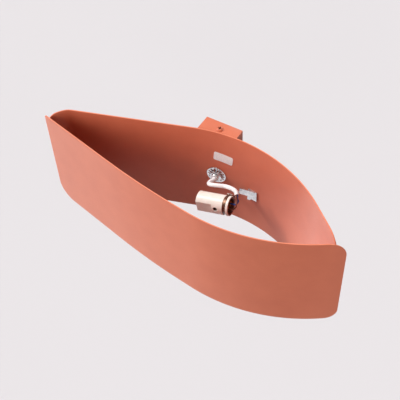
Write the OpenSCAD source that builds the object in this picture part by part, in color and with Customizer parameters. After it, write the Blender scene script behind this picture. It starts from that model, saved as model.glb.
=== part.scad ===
// Leaf shaped flush wall light: two bent sheet strips on a small wall box.
// The wall is the plane y = 0, the light stands out towards -Y, +Z is up.
// The origin is the centre of the wall plate on the wall.

/* [Shade] */
// Height of both shade strips
shade_h = 136; // [110:1:160]
// Thickness of the coated steel strip
sheet_t = 1.4; // [1:0.1:2]
// Radius of the rounded strip corners
corner_r = 22; // [12:1:28]
// Radius of the front strip's upper left tip, which is nearly sharp
front_tip_r = 3; // [2:0.5:8]
// Radius of the back strip's upper left corner, behind that tip
back_tip_r = 12; // [6:1:16]
// Radius of the front strip's lower right corner
heel_r = 14; // [10:1:20]
// Distance from the wall to the line through the tips of the shade
chord_out = 94; // [93:1:110]
// Reach of the front strip to the left of the centre
reach_left = 189; // [180:1:210]
// Reach of the front strip to the right of the centre
reach_right = 193; // [185:1:215]
// How far the left end of the front strip lies behind the line through the tips
left_end_in = 3.6; // [0:0.2:8]
// How far the right end of the front strip lies behind that line
right_end_in = 9.2; // [4:0.2:14]

/* [Front strip bends] */
// Where the flat left half starts to turn, left of the centre
front_knee_x = 34; // [20:1:45]
// How far that bend stands in front of the line through the tips
front_knee_depth = 31; // [26:1:36]
// Radius of that slow bend
front_knee_r = 960; // [600:10:1200]
// Where the round nose lies, right of the centre
front_nose_x = 120; // [110:1:130]
// How far the nose corner stands in front of the line through the tips
front_nose_depth = 49; // [44:1:54]
// Radius of the nose
front_nose_r = 215; // [160:5:225]

/* [Back strip bends] */
// Where the short left bend lies, in from the left tip of the front strip
back_knee_x = 16; // [12:1:22]
// How far that bend stands behind the line through the tips
back_knee_depth = 23.4; // [20:0.2:28]
// Radius of that bend
back_knee_r = 20; // [10:1:30]
// Where the two long runs would meet, right of the centre
back_peak_x = 66.5; // [60:0.5:72]
// How far that meeting point lies behind the line through the tips
back_peak_depth = 102; // [98:0.5:103]
// Radius of the large bend that carries the fittings
back_peak_r = 181; // [170:1:190]
// Front strip left over beyond the weld at the left tip
lap_left = 3; // [1:0.5:10]
// Front strip left over beyond the weld at the right tip
lap_right = 10; // [4:0.5:16]

/* [Wall box] */
// Width of the wall box
box_w = 47; // [42:1:54]
// Sheet thickness of the wall box
box_t = 1.2; // [1:0.1:1.5]
// Width of the wall plate inside the box
plate_w = 38; // [34:1:40]
// Thickness of the wall plate
plate_t = 1.5; // [1.2:0.1:2]
// Distance between the two wall screw slots
slot_spacing = 80; // [70:1:90]
// Width of each wall screw slot
slot_w = 5.2; // [4.2:0.2:6]
// Length of each wall screw slot
slot_len = 12; // [8:0.5:16]
// Diameter of the hole for the cable from the wall
cable_hole_d = 18; // [14:1:22]
// Width of the plate's folded tabs
tab_w = 14; // [10:1:18]

/* [Locking screws] */
// Room between the press nuts and the inside of the box front
lock_out = 0.1; // [0.1:0.1:2]
// Thread diameter of the locking screws
lock_d = 4; // [3:0.5:5]
// Diameter of their pan heads
lock_head_d = 7; // [6:0.5:7.5]
// Height of their pan heads
lock_head_h = 2.4; // [1.8:0.1:3]
// Thickness of the press nuts under the box walls
press_nut_t = 2.5; // [2:0.1:3]
// Length of thread below a press nut
lock_below = 2; // [1:0.5:3]

/* [Nipple] */
// Place of the hollow nipple, right of the centre
nipple_x = -2; // [-4:0.5:4]
// Height of the nipple above the middle
nipple_z = -2; // [-6:0.5:6]
// Outer diameter of the nipple
nipple_d = 10; // [9:0.5:11]
// Bore of the nipple
nipple_bore_d = 7.2; // [6.8:0.1:7.6]
// Diameter of the toothed washer
washer_d = 24; // [20:0.5:28]
// Thickness of the toothed washer
washer_t = 1; // [0.8:0.1:1.5]
// Teeth of the washer
washer_teeth = 14; // [10:1:18]
// Width across the flats of the lock nuts
nut_af = 14; // [13.5:0.5:16]
// Thickness of the lock nuts
nut_t = 3; // [2.5:0.1:4]

/* [Lead] */
// Outer diameter of the white glass fibre sleeve
sleeve_d = 5.2; // [4.8:0.1:5.4]
// Wall of the sleeve
sleeve_wall = 0.4; // [0.3:0.05:0.5]
// Diameter of each insulated wire
wire_d = 2; // [1.6:0.1:2.1]

/* [Lampholder] */
// Outer diameter of the ceramic body
holder_d = 23.5; // [22:0.5:26]
// Length of the ceramic body
holder_len = 40.5; // [39:0.5:46]
// Place of the clip groove's middle, right of the centre
holder_x = 32.6; // [29:0.2:36]
// Distance of that point from the wall
holder_out = 51.6; // [49:0.2:56]
// Height of that point above the middle
holder_z = -4.2; // [-8:0.2:2]
// Turn of the holder's axis seen from above
holder_turn = 9; // [5:0.5:13]
// Rise of the holder's axis towards its rear
holder_rise = 8.5; // [4:0.5:12]
// Depth of the lamp cap bore
mouth_depth = 26; // [24:0.5:27]
// Width across the two flats beside the mouth
holder_flats = 18.3; // [17.6:0.1:21]
// Length of those flats
holder_flat_len = 20; // [14:0.5:24]
// Distance from the mouth to the middle of the clip groove
groove_at = 35.4; // [34.8:0.1:36]
// Width of the clip groove
groove_w = 3.8; // [2.5:0.1:4]
// Inner diameter of the threaded shell for a small screw cap lamp
shell_d = 13.9; // [13.5:0.1:14.2]

/* [Lamp bracket] */
// Where the bracket is fixed to the back strip, right of the centre
bracket_x = 53; // [48:0.5:56]
// Height of the top edge above the middle
bracket_top_z = -4.6; // [-6:0.2:-3]
// Height of the bar and the arm
bracket_bar_h = 9.4; // [8:0.2:12]
// Height of the flange on the strip
bracket_flange_h = 15.5; // [13:0.5:20]
// Length of the flange along the strip
bracket_flange_len = 12; // [9:0.5:16]
// Thickness of the bracket sheet
bracket_t = 1.2; // [1:0.1:1.5]

/* [Rating plate] */
// Width of the blank label
label_w = 24; // [16:1:30]
// Height of the label
label_h = 13.4; // [8:0.2:15]
// Middle of the label, right of the centre
label_x = 7; // [4:1:16]
// Middle of the label above the middle of the shade
label_z = 29; // [24:1:40]
// Tilt of the label
label_tilt = 6; // [0:1:15]

/* [Hidden] */

// Fits: a face that only rests, a thread or slip fit, and the overrun of a cut
seam = 0.1;
slip = 0.05;
over = 1;
// Angle between neighbouring points of a rolled bend
bend_step = 1.5;
// Facets of round things
round_fn = 64;
small_fn = 32;

coat = [0.80, 0.42, 0.31];
zinc = [0.78, 0.79, 0.80];
ceramic = [0.93, 0.89, 0.80];
brass = [0.80, 0.65, 0.35];

// Plane geometry
function unit(v) = v / norm(v);
function cross2(a, b) = a.x * b.y - a.y * b.x;
function left_of(v) = [-v.y, v.x];
function spun(v, a) = [v.x * cos(a) - v.y * sin(a), v.x * sin(a) + v.y * cos(a)];
function heading(v) = atan2(v.y, v.x);
function turn_at(a, b, c) = atan2(cross2(unit(b - a), unit(c - b)), unit(b - a) * unit(c - b));
// Run that the arc at b takes from each side, the centre of that arc, and the points along it
function bend_run(a, b, c, r) = r * tan(abs(turn_at(a, b, c)) / 2);
function bend_centre(a, b, c, r) =
    b - unit(b - a) * bend_run(a, b, c, r) + left_of(unit(b - a)) * r * sign(turn_at(a, b, c));
function bend(a, b, c, r) =
    let (ang = turn_at(a, b, c), n = ceil(abs(ang) / bend_step), m = bend_centre(a, b, c, r),
         spoke = -left_of(unit(b - a)) * r * sign(ang))
    [for (i = [0:n]) m + spun(spoke, ang * i / n)];
// The radius at b, smaller where the runs beside it, less what the bend before it took, are too short
function fitting_r(a, b, c, r, taken) =
    min(r, (min(norm(b - a) - taken, norm(c - b)) - sheet_t) / tan(abs(turn_at(a, b, c)) / 2));
// A path moved sideways by d, to the left of its direction
function side_at(p, i) =
    let (a = unit(p[min(i + 1, len(p) - 1)] - p[min(i, len(p) - 2)]),
         b = unit(p[max(i, 1)] - p[max(i - 1, 0)]))
    (left_of(a) + left_of(b)) / (1 + a * b);
function moved(p, d) = [for (i = [0:len(p) - 1]) p[i] + side_at(p, i) * d];
function reversed(p) = [for (i = [len(p) - 1:-1:0]) p[i]];

// Plan of the two strips, along the middle of the sheet
front_left = [-reach_left, left_end_in - chord_out];
front_knee = [-front_knee_x, -front_knee_depth - chord_out];
front_nose = [front_nose_x, -front_nose_depth - chord_out];
front_right = [reach_right, right_end_in - chord_out];
front_knee_run = bend_run(front_left, front_knee, front_nose, front_knee_r);
nose_r = fitting_r(front_knee, front_nose, front_right, front_nose_r, front_knee_run);
front_path = concat([front_left], bend(front_left, front_knee, front_nose, front_knee_r),
                    bend(front_knee, front_nose, front_right, nose_r), [front_right]);
left_dir = unit(front_path[1] - front_left);
right_dir = unit(front_path[len(front_path) - 2] - front_right);
weld_left = front_left + left_dir * lap_left + left_of(left_dir) * sheet_t / 2;
weld_right = front_right + right_dir * lap_right - left_of(right_dir) * sheet_t / 2;
back_knee = [back_knee_x - reach_left, back_knee_depth - chord_out];
back_peak = [back_peak_x, back_peak_depth - chord_out];
back_out_left = unit(weld_left - back_knee);
back_out_right = unit(weld_right - back_peak);
back_start = weld_left + back_out_left * sheet_t * 3;
back_end = weld_right + back_out_right * sheet_t * 3;
back_path = concat([back_start], bend(back_start, back_knee, back_peak, back_knee_r),
                   bend(back_knee, back_peak, back_end, back_peak_r), [back_end]);

// The large bend of the back strip: centre, and the angle and point at a given x
peak_c = bend_centre(back_knee, back_peak, back_end, back_peak_r);
function peak_angle(x) = -asin((x - peak_c.x) / back_peak_r);
function peak_point(x, r) = peak_c + spun([0, r], peak_angle(x));
inner_r = back_peak_r - sheet_t / 2;
// How far a flat disc of diameter d stands off the hollow inner face
function hollow_gap(d) = inner_r - sqrt(inner_r * inner_r - d * d / 4);
// Children stand on the inner face of the back strip, +Y out through the sheet
module on_strip(x, z)
    translate([peak_point(x, inner_r).x, peak_point(x, inner_r).y, z])
        rotate([0, 0, peak_angle(x)])
            children();

// A strip's plan with its thickness, and the whole region in front of a path
module sheet_plan(path, t) polygon(concat(moved(path, t / 2), reversed(moved(path, -t / 2))));
module in_front(path, d, depth)
    polygon(concat(moved(path, d), [[path[len(path) - 1].x + depth, -depth], [path[0].x - depth, -depth]]));
far = 3 * chord_out;
corner_cut_w = corner_r;

// Cuts a strip end's upper and lower corner to their radii at p, where u points out of the end
module corner_cuts(p, u, upper_r, lower_r)
    translate([p.x, p.y, 0])
        rotate([0, 0, heading(u)])
            for (flip = [0, 1]) {
                r = flip == 0 ? upper_r : lower_r;
                mirror([0, 0, flip])
                    translate([slip - r, 0, shade_h / 2 - r + slip])
                        difference() {
                            translate([0, -corner_cut_w / 2, 0])
                                cube([r * 2, corner_cut_w, r + over]);
                            rotate([90, 0, 0])
                                cylinder(r = r, h = corner_cut_w + over, center = true, $fn = round_fn);
                        }
            }

module front_strip()
    color(coat)
        difference() {
            linear_extrude(height = shade_h, center = true, convexity = 4) sheet_plan(front_path, sheet_t);
            corner_cuts(front_left, -left_dir, front_tip_r, corner_r);
            corner_cuts(front_right, -right_dir, corner_r, heel_r);
        }

module back_strip()
    color(coat)
        difference() {
            linear_extrude(height = shade_h, center = true, convexity = 4)
                difference() {
                    sheet_plan(back_path, sheet_t);
                    in_front(front_path, sheet_t / 2 + seam, far);
                }
            corner_cuts(weld_left, back_out_left, back_tip_r, corner_r);
            corner_cuts(weld_right, back_out_right, corner_r, corner_r);
            on_strip(nipple_x, nipple_z)
                rotate([-90, 0, 0])
                    cylinder(d = nipple_d + 2 * slip, h = far, center = true, $fn = round_fn);
        }

// Wall box: a folded shell, open to the wall, its front curved to the strip
box_h = shade_h;
box_front_gap = sheet_t / 2 + seam;
// The locking screws stand off the inside of the box front by half a press nut and its room
press_nut_wall = 1.2;
press_nut_d = lock_d + 2 * press_nut_wall;
lock_circle = back_peak_r + box_front_gap + box_t + lock_out + press_nut_d / 2;
lock_y = -peak_c.y - sqrt(lock_circle * lock_circle - peak_c.x * peak_c.x);
// The terminal block hangs below the top of the box
block_x = 0;
block_drop = 32;
block_z = shade_h / 2 - block_drop;
module box_plan(w, gap)
    difference() {
        translate([-w / 2, -chord_out]) square([w, chord_out]);
        in_front(back_path, gap, far);
    }
// Children twice, once at the top and once mirrored to the bottom
module both_ends() for (flip = [0, 1]) mirror([0, 0, flip]) children();

module wall_box()
    color(coat)
        difference() {
            linear_extrude(height = box_h, center = true) box_plan(box_w, box_front_gap);
            linear_extrude(height = box_h - 2 * box_t, center = true)
                union() {
                    box_plan(box_w - 2 * box_t, box_front_gap + box_t);
                    translate([box_t - box_w / 2, -box_t]) square([box_w - 2 * box_t, box_t + over]);
                }
            both_ends()
                translate([0, -lock_y, box_h / 2 - box_t - over])
                    cylinder(d = lock_d + 2 * slip, h = box_t + 2 * over, $fn = small_fn);
            on_strip(nipple_x, nipple_z)
                rotate([-90, 0, 0])
                    cylinder(d = nipple_d + 2 * slip, h = chord_out / 2, $fn = round_fn);
            on_strip(block_x, block_z)
                translate([block_pole / 2, 0, 0])
                    rotate([-90, 0, 0])
                        cylinder(d = block_screw_d + 2 * slip, h = chord_out / 2, $fn = small_fn);
        }

press_nut_z = box_h / 2 - box_t - press_nut_t;
module press_nuts()
    color(zinc)
        both_ends()
            translate([0, -lock_y, press_nut_z])
                difference() {
                    cylinder(d = press_nut_d, h = press_nut_t, $fn = small_fn);
                    translate([0, 0, -over])
                        cylinder(d = lock_d + 2 * slip, h = press_nut_t + 2 * over, $fn = small_fn);
                }

// Locking screw, drawn for the top with its tip just off the plate's tab
lock_tip_z = press_nut_z - lock_below;
lock_recess_w = 1;
lock_recess_l = 4;
lock_recess_h = 1.6;
module lock_screw()
    color(coat)
        translate([0, -lock_y, 0])
            difference() {
                union() {
                    translate([0, 0, lock_tip_z])
                        cylinder(d = lock_d, h = box_h / 2 + lock_head_h / 2 - lock_tip_z, $fn = small_fn);
                    translate([0, 0, box_h / 2])
                        rotate_extrude($fn = small_fn)
                            polygon([[0, 0], [lock_head_d / 2, 0], [lock_head_d / 2, lock_head_h / 2],
                                     [lock_head_d / 2 - lock_head_h / 3, lock_head_h], [0, lock_head_h]]);
                }
                for (a = [0, 90])
                    translate([0, 0, box_h / 2 + lock_head_h - lock_recess_h / 2 + over / 2])
                        rotate([0, 0, a])
                            cube([lock_recess_l, lock_recess_w, lock_recess_h + over], center = true);
            }
module lock_screw_top() lock_screw();
module lock_screw_bottom() mirror([0, 0, 1]) lock_screw();

// Wall plate: a flat strap with a tab folded forward at each end, under the screw tips
tab_gap = 0.3;
tab_z = lock_tip_z - tab_gap;
tab_reach = lock_y + lock_d / 2;
earth_x = 12;
earth_drop = 16;
earth_z = block_z - earth_drop;
earth_d = 4;
earth_head_d = 7.5;
earth_head_h = 2.4;
module wall_plate()
    color(zinc)
        difference() {
            union() {
                translate([-plate_w / 2, -plate_t, -tab_z]) cube([plate_w, plate_t, 2 * tab_z]);
                both_ends()
                    translate([-tab_w / 2, -tab_reach, tab_z - plate_t]) cube([tab_w, tab_reach, plate_t]);
            }
            rotate([90, 0, 0]) cylinder(d = cable_hole_d, h = chord_out, center = true, $fn = round_fn);
            both_ends()
                translate([0, 0, slot_spacing / 2])
                    rotate([90, 0, 0]) {
                        for (s = [-1, 1])
                            translate([0, s * (slot_len - slot_w) / 2, 0])
                                cylinder(d = slot_w, h = chord_out / 4, center = true, $fn = small_fn);
                        cube([slot_w, slot_len - slot_w, chord_out / 4], center = true);
                    }
            translate([earth_x, 0, earth_z])
                rotate([90, 0, 0])
                    cylinder(d = earth_d + 2 * slip, h = chord_out / 4, center = true, $fn = small_fn);
        }

module plate_earth_screw()
    color(brass)
        translate([earth_x, 0, earth_z])
            rotate([90, 0, 0])
                difference() {
                    union() {
                        cylinder(d = earth_d, h = plate_t + seam, $fn = small_fn);
                        translate([0, 0, plate_t + seam / 2])
                            cylinder(d = earth_head_d, h = earth_head_h, $fn = small_fn);
                    }
                    translate([0, 0, plate_t + earth_head_h])
                        cube([earth_head_d + over, earth_d / 4, earth_head_h], center = true);
                }

// Hollow nipple through the strip and the box front, with its washer and nuts.
// In this frame +Y points to the wall and zero is the strip's inner face.
washer_back = -hollow_gap(washer_d) - slip;
shade_nut_back = washer_back - washer_t;
nipple_spare = 1.6;
nipple_tip = shade_nut_back - nut_t - nipple_spare;
box_inner_y = sheet_t + seam + box_t;
tag_t = 0.6;
box_nut_front = box_inner_y + seam + tag_t + seam;
nipple_end = box_nut_front + nut_t + nipple_spare / 2;
module tube_y(d_out, d_in, y0, y1)
    translate([0, y0, 0])
        rotate([-90, 0, 0])
            difference() {
                cylinder(d = d_out, h = y1 - y0, $fn = round_fn);
                translate([0, 0, -over]) cylinder(d = d_in, h = y1 - y0 + 2 * over, $fn = round_fn);
            }
module nipple()
    color(zinc)
        on_strip(nipple_x, nipple_z)
            tube_y(nipple_d, nipple_bore_d, nipple_tip, nipple_end);

tooth_l = 4;
tooth_gap_w = 1.5;
module tooth_washer()
    color(zinc)
        on_strip(nipple_x, nipple_z)
            difference() {
                tube_y(washer_d, nipple_d + 2 * slip, washer_back - washer_t, washer_back);
                for (i = [0:washer_teeth - 1])
                    rotate([0, i * 360 / washer_teeth, 0])
                        translate([washer_d / 2 - tooth_l / 2 - tooth_gap_w, washer_back, 0])
                            cube([tooth_l, 4 * washer_t, tooth_gap_w], center = true);
            }

module hex_nut(y0)
    translate([0, y0, 0])
        rotate([-90, 0, 0])
            difference() {
                cylinder(d = nut_af / cos(30), h = nut_t, $fn = 6);
                translate([0, 0, -over])
                    cylinder(d = nipple_d + 2 * slip, h = nut_t + 2 * over, $fn = round_fn);
            }
module shade_lock_nut() color(zinc) on_strip(nipple_x, nipple_z) hex_nut(shade_nut_back - nut_t);
module box_lock_nut() color(zinc) on_strip(nipple_x, nipple_z) hex_nut(box_nut_front);

// Ring tag for the earth lead, clamped under the nut in the box
tag_rim = 0.5;
tag_ring_d = nut_af + 2 * tag_rim;
tag_neck_w = 4;
tag_neck_l = 14;
module earth_tag()
    color(zinc)
        on_strip(nipple_x, nipple_z)
            translate([0, box_inner_y + seam, 0])
                difference() {
                    union() {
                        rotate([-90, 0, 0]) cylinder(d = tag_ring_d, h = tag_t, $fn = round_fn);
                        translate([-tag_neck_w / 2, 0, 0]) cube([tag_neck_w, tag_t, tag_neck_l]);
                    }
                    rotate([-90, 0, 0])
                        cylinder(d = nipple_d + 2 * slip, h = 4 * over, center = true, $fn = round_fn);
                }

bush_flange_t = 0.8;
bush_flange_d = 9;
bush_len = 6;
module nipple_bush()
    color("white")
        on_strip(nipple_x, nipple_z)
            union() {
                tube_y(nipple_bore_d - 2 * slip, sleeve_d + 2 * slip, nipple_tip, nipple_tip + bush_len);
                tube_y(bush_flange_d, sleeve_d + 2 * slip, nipple_tip - bush_flange_t, nipple_tip);
            }

// Space curves: a smooth line through chosen points, and a round tube along it
function spline_at(p, i, t) =
    let (a = p[max(i - 1, 0)], b = p[i], c = p[i + 1], d = p[min(i + 2, len(p) - 1)])
    0.5 * (2 * b + (c - a) * t + (2 * a - 5 * b + 4 * c - d) * t * t + (3 * b - a - 3 * c + d) * t * t * t);
function smooth_line(p, n) =
    concat([for (i = [0:len(p) - 2]) for (k = [0:n - 1]) spline_at(p, i, k / n)], [p[len(p) - 1]]);
function tangent_at(q, i) = unit(q[min(i + 1, len(q) - 1)] - q[max(i - 1, 0)]);
// Side vector of the tube's ring, carried along so that it does not twist
function carried(q, i, s) = let (t = tangent_at(q, i)) unit(s - t * (s * t));
function sides(q, s0) =
    [for (i = 0, s = carried(q, 0, s0); i < len(q); i = i + 1, s = carried(q, min(i, len(q) - 1), s)) s];
function shifted(q, s0, a, d) =
    let (s = sides(q, s0))
    [for (i = [0:len(q) - 1]) q[i] + (s[i] * cos(a) + cross(tangent_at(q, i), s[i]) * sin(a)) * d];
module tube_along(q, s0, r, n)
    let (s = sides(q, s0), m = len(q))
    polyhedron(
        points = [for (i = [0:m - 1]) for (k = [0:n - 1])
                  q[i] + (s[i] * cos(k * 360 / n) + cross(tangent_at(q, i), s[i]) * sin(k * 360 / n)) * r],
        faces = concat([[for (k = [0:n - 1]) k]],
                       [for (i = [0:m - 2]) for (k = [0:n - 1])
                        [i * n + k, (i + 1) * n + k, (i + 1) * n + (k + 1) % n, i * n + (k + 1) % n]],
                       [[for (k = [n - 1:-1:0]) (m - 1) * n + k]]),
        convexity = 6);

// A point given in the nipple's frame, in the object's frame
function from_nipple(v) =
    let (b = peak_point(nipple_x, inner_r), w = spun([v.x, v.y], peak_angle(nipple_x)))
    [b.x + w.x, b.y + w.y, nipple_z + v.z];

// Lampholder frame: +X from the mouth to the rear, zero in the clip groove
holder_c = [holder_x, -holder_out, holder_z];
module at_holder()
    translate(holder_c)
        rotate([0, 0, holder_turn])
            rotate([0, -holder_rise, 0])
                children();
function from_holder(v) =
    let (x = v.x * cos(holder_rise) - v.z * sin(holder_rise),
         z = v.x * sin(holder_rise) + v.z * cos(holder_rise),
         w = spun([x, v.y], holder_turn))
    holder_c + [w.x, w.y, z];
mouth_x = -groove_at;
web_t = 5;
cavity_d = 18.6;
groove_depth = 1.25;
groove_d = holder_d - 2 * groove_depth;
shell_room = 0.6;
mouth_bore_d = shell_d + 2 * shell_room;
edge_r = 0.7;
web_hole_d = 2.3;
side_hole_d = 4.6;
side_hole_at = 25;
side_hole_turn = 77;

// Route of the lead: out of the nipple, across to the holder's rear.
// The points are given from the nipple's tip and in the lampholder's frame.
lead_at_nipple = [[0, 5, 0], [0, 1.5, 0], [0, -1.8, 0], [-0.8, -4.2, -0.1], [-2.8, -8.3, 0.4],
                  [-2.5, -12.1, 1.6], [0.4, -15.1, 4.3], [8.5, -16, 6.8], [18.7, -14.7, 7.7]];
lead_at_holder = [[-1.4, 16.1, 13.2], [4.9, 13.7, 13.8], [8.7, 11.4, 13.1], [10.6, 8.2, 11.7]];
sleeve_route = concat([for (p = lead_at_nipple) from_nipple(p + [0, nipple_tip, 0])],
                      [for (p = lead_at_holder) from_holder(p)]);
sleeve_line = smooth_line(sleeve_route, 4);
sleeve_sides = 12;
wire_sides = 8;
flat_side = [1, 0, 0];
wire_side = wire_d / 2 + slip;
module lead_sleeve()
    color("white")
        difference() {
            tube_along(sleeve_line, flat_side, sleeve_d / 2, sleeve_sides);
            tube_along(longer(sleeve_line), flat_side, sleeve_d / 2 - sleeve_wall, sleeve_sides);
        }
// The same line, run past both of its ends
function longer(q) =
    let (m = len(q) - 1)
    concat([q[0] - unit(q[1] - q[0]) * over], [for (i = [1:m - 1]) q[i]],
           [q[m] + unit(q[m] - q[m - 1]) * over]);

// Terminal block in the box, on the box front above the nipple
block_pole = 10;
block_h = 15;
block_base_d = 3.5;
barrel_sink = 1;
block_screw_d = 3;
insert_d = 4.4;
insert_bore_d = 2.8;
insert_len = 13;
block_front = box_inner_y + seam;
// It reaches towards the wall plate, with some air left behind its right hand pole
block_air = 1.4;
block_room = (-from_block([block_pole, block_front, 0]).y - plate_t) / cos(peak_angle(block_x));
block_d = block_room - block_air;
block_barrel_d = block_d - 2 * barrel_sink;
block_hole_y = block_front + block_d / 2;
poles = [-block_pole, 0, block_pole];
clamp_z = 4;
clamp_d = 2.5;
module terminal_block()
    color([0.93, 0.93, 0.90])
        on_strip(block_x, block_z)
            difference() {
                union() {
                    translate([-1.5 * block_pole, block_front, -block_h / 2])
                        cube([3 * block_pole, block_base_d, block_h]);
                    for (x = poles) {
                        translate([x, block_hole_y, -block_h / 2])
                            cylinder(d = block_barrel_d, h = block_h, $fn = small_fn);
                        for (z = [-clamp_z, clamp_z])
                            translate([x, block_hole_y, z])
                                rotate([-90, 0, 0])
                                    cylinder(d = clamp_d * 2, h = block_d / 2, $fn = small_fn);
                    }
                }
                for (x = poles) {
                    translate([x, block_hole_y, 0])
                        cylinder(d = insert_d + 2 * slip, h = block_h + 2 * over, center = true,
                                 $fn = small_fn);
                    for (z = [-clamp_z, clamp_z])
                        translate([x, block_hole_y, z])
                            rotate([-90, 0, 0]) cylinder(d = clamp_d + 4 * slip, h = block_d, $fn = small_fn);
                }
                translate([block_pole / 2, 0, 0])
                    rotate([-90, 0, 0])
                        cylinder(d = block_screw_d + 4 * slip, h = 2 * block_d, $fn = small_fn);
                translate([block_pole / 2, block_front + block_base_d, 0])
                    rotate([-90, 0, 0]) cylinder(d = block_head_d + 4 * slip, h = block_d, $fn = small_fn);
            }
block_head_d = 5;
block_head_h = 2;
module block_fixing_screw()
    color(zinc)
        on_strip(block_x, block_z)
            translate([block_pole / 2, 0, 0]) {
                translate([0, sheet_t + seam + slip, 0])
                    rotate([-90, 0, 0])
                        cylinder(d = block_screw_d, h = block_front + block_base_d - sheet_t, $fn = small_fn);
                translate([0, block_front + block_base_d + slip, 0])
                    rotate([-90, 0, 0])
                        difference() {
                            cylinder(d = block_head_d, h = block_head_h, $fn = small_fn);
                            translate([0, 0, block_head_h])
                                cube([block_head_d + over, block_screw_d / 4, block_head_h], center = true);
                        }
            }
module terminal_inserts()
    color(brass)
        on_strip(block_x, block_z)
            for (x = poles)
                translate([x, block_hole_y, 0])
                    difference() {
                        cylinder(d = insert_d, h = insert_len, center = true, $fn = small_fn);
                        cylinder(d = insert_bore_d, h = insert_len + over, center = true, $fn = small_fn);
                        for (z = [-clamp_z, clamp_z])
                            translate([0, 0, z])
                                rotate([-90, 0, 0])
                                    cylinder(d = clamp_d + 2 * slip, h = insert_d, $fn = small_fn);
                    }
module terminal_block_screws()
    color(zinc)
        on_strip(block_x, block_z)
            for (x = poles) for (z = [-clamp_z, clamp_z])
                translate([x, block_hole_y + wire_d / 2 + slip, z])
                    rotate([-90, 0, 0])
                        difference() {
                            cylinder(d = clamp_d, h = block_d / 2 - wire_d / 2 - 2 * slip, $fn = small_fn);
                            translate([0, 0, block_d / 2 - wire_d / 2])
                                cube([clamp_d + over, clamp_d / 4, clamp_d / 2], center = true);
                        }

// A point given in the terminal block's frame, in the object's frame
function from_block(v) =
    let (b = peak_point(block_x, inner_r), w = spun([v.x, v.y], peak_angle(block_x)))
    [b.x + w.x, b.y + w.y, block_z + v.z];

// Each wire runs from the terminal block through nipple and sleeve to the lampholder
wire_at_nut = [[8, 3, 15], [2.4, 4, 7.5], [1.1, 2, 2]];
live_at_holder = [[12, 3.4, 8.4], [12.2, -2, 3.4], [8.6, -4.3, -0.6]];
neutral_at_holder = [[11.6, 6.4, 8], [12, 6.4, 3.4], [8.6, 4.3, -0.6]];
shared_line = concat([from_nipple([0, nipple_end - over, 0])], sleeve_line);
function box_run(side) = concat(
    [for (z = [-block_h / 4, -block_h / 2, -block_h / 2 - wire_d])
     from_block([side * block_pole, block_hole_y, z])],
    [for (p = wire_at_nut) from_nipple([side * p.x, nipple_end + p.y, p.z])]);
function wire_line(side, last_points) =
    let (mid = shifted(shared_line, flat_side * side, 0, wire_side),
         first = smooth_line(concat(box_run(side), [mid[0]]), 3),
         last = smooth_line(concat([mid[len(mid) - 1]], [for (p = last_points) from_holder(p)],
                                   [for (x = [term_x1, term_x1 - term_len / 2])
                                    from_holder([x, side * term_y, term_wire_z])]), 3))
    concat([for (i = [0:len(first) - 2]) first[i]], mid, [for (i = [1:len(last) - 1]) last[i]]);

// Brass terminals in the rear of the lampholder, measured from the mouth
term_x0 = mouth_depth + web_t + seam;
term_len = 6.9;
term_w = 5.4;
term_top = 2;
term_h = 5;
term_y = 4.3;
term_wire_z = -0.6;
term_x1 = mouth_x + term_x0 + term_len;
wire_live_line = wire_line(-1, live_at_holder);
wire_neutral_line = wire_line(1, neutral_at_holder);
module wire_live()
    color([0.42, 0.22, 0.12])
        tube_along(wire_live_line, -flat_side, wire_d / 2, wire_sides);
module wire_neutral()
    color([0.10, 0.25, 0.62])
        tube_along(wire_neutral_line, flat_side, wire_d / 2, wire_sides);
earth_y = box_inner_y + seam + tag_t + wire_d / 2 + 3 * seam;
earth_line = smooth_line([
    from_nipple([0, earth_y, tag_ring_d * 0.6]),
    from_nipple([0, earth_y, tag_neck_l]),
    from_block([0, block_hole_y, -block_h / 2 - wire_d]),
    from_block([0, block_hole_y, -block_h / 2]),
    from_block([0, block_hole_y, -block_h / 4])], 2);
earth_side = [5, 1, 0];
module earth_lead()
    color([0.30, 0.62, 0.20])
        tube_along(earth_line, earth_side, wire_d / 2, wire_sides);

// Ceramic body: mouth bore, web, open rear, groove for the clip, two flats
groove_from = groove_at - groove_w / 2;
groove_to = groove_at + groove_w / 2;
// Half section of the body: radius, then distance from the mouth
body_outline = [
    [mouth_bore_d / 2, 0], [holder_d / 2 - edge_r, 0], [holder_d / 2, edge_r],
    [holder_d / 2, groove_from], [groove_d / 2, groove_from],
    [groove_d / 2, groove_to], [holder_d / 2, groove_to],
    [holder_d / 2, holder_len - edge_r], [holder_d / 2 - edge_r, holder_len],
    [cavity_d / 2, holder_len], [cavity_d / 2, mouth_depth + web_t],
    [0, mouth_depth + web_t], [0, mouth_depth], [mouth_bore_d / 2, mouth_depth]];
module holder_body()
    color(ceramic)
        at_holder()
            translate([mouth_x, 0, 0])
                difference() {
                    rotate([90, 0, 90])
                        rotate_extrude($fn = round_fn) polygon(body_outline);
                    for (side = [-1, 1]) {
                        translate([holder_flat_len / 2 - over, side * (holder_flats + holder_d) / 2, 0])
                            cube([holder_flat_len + 2 * over, holder_d, 2 * holder_d], center = true);
                        translate([mouth_depth + web_t / 2, side * term_y, 0])
                            rotate([0, 90, 0])
                                cylinder(d = web_hole_d, h = web_t + 2 * over, center = true, $fn = small_fn);
                    }
                    translate([side_hole_at, 0, 0])
                        rotate([side_hole_turn, 0, 0])
                            cylinder(d = side_hole_d, h = holder_d, $fn = small_fn);
                }

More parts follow.
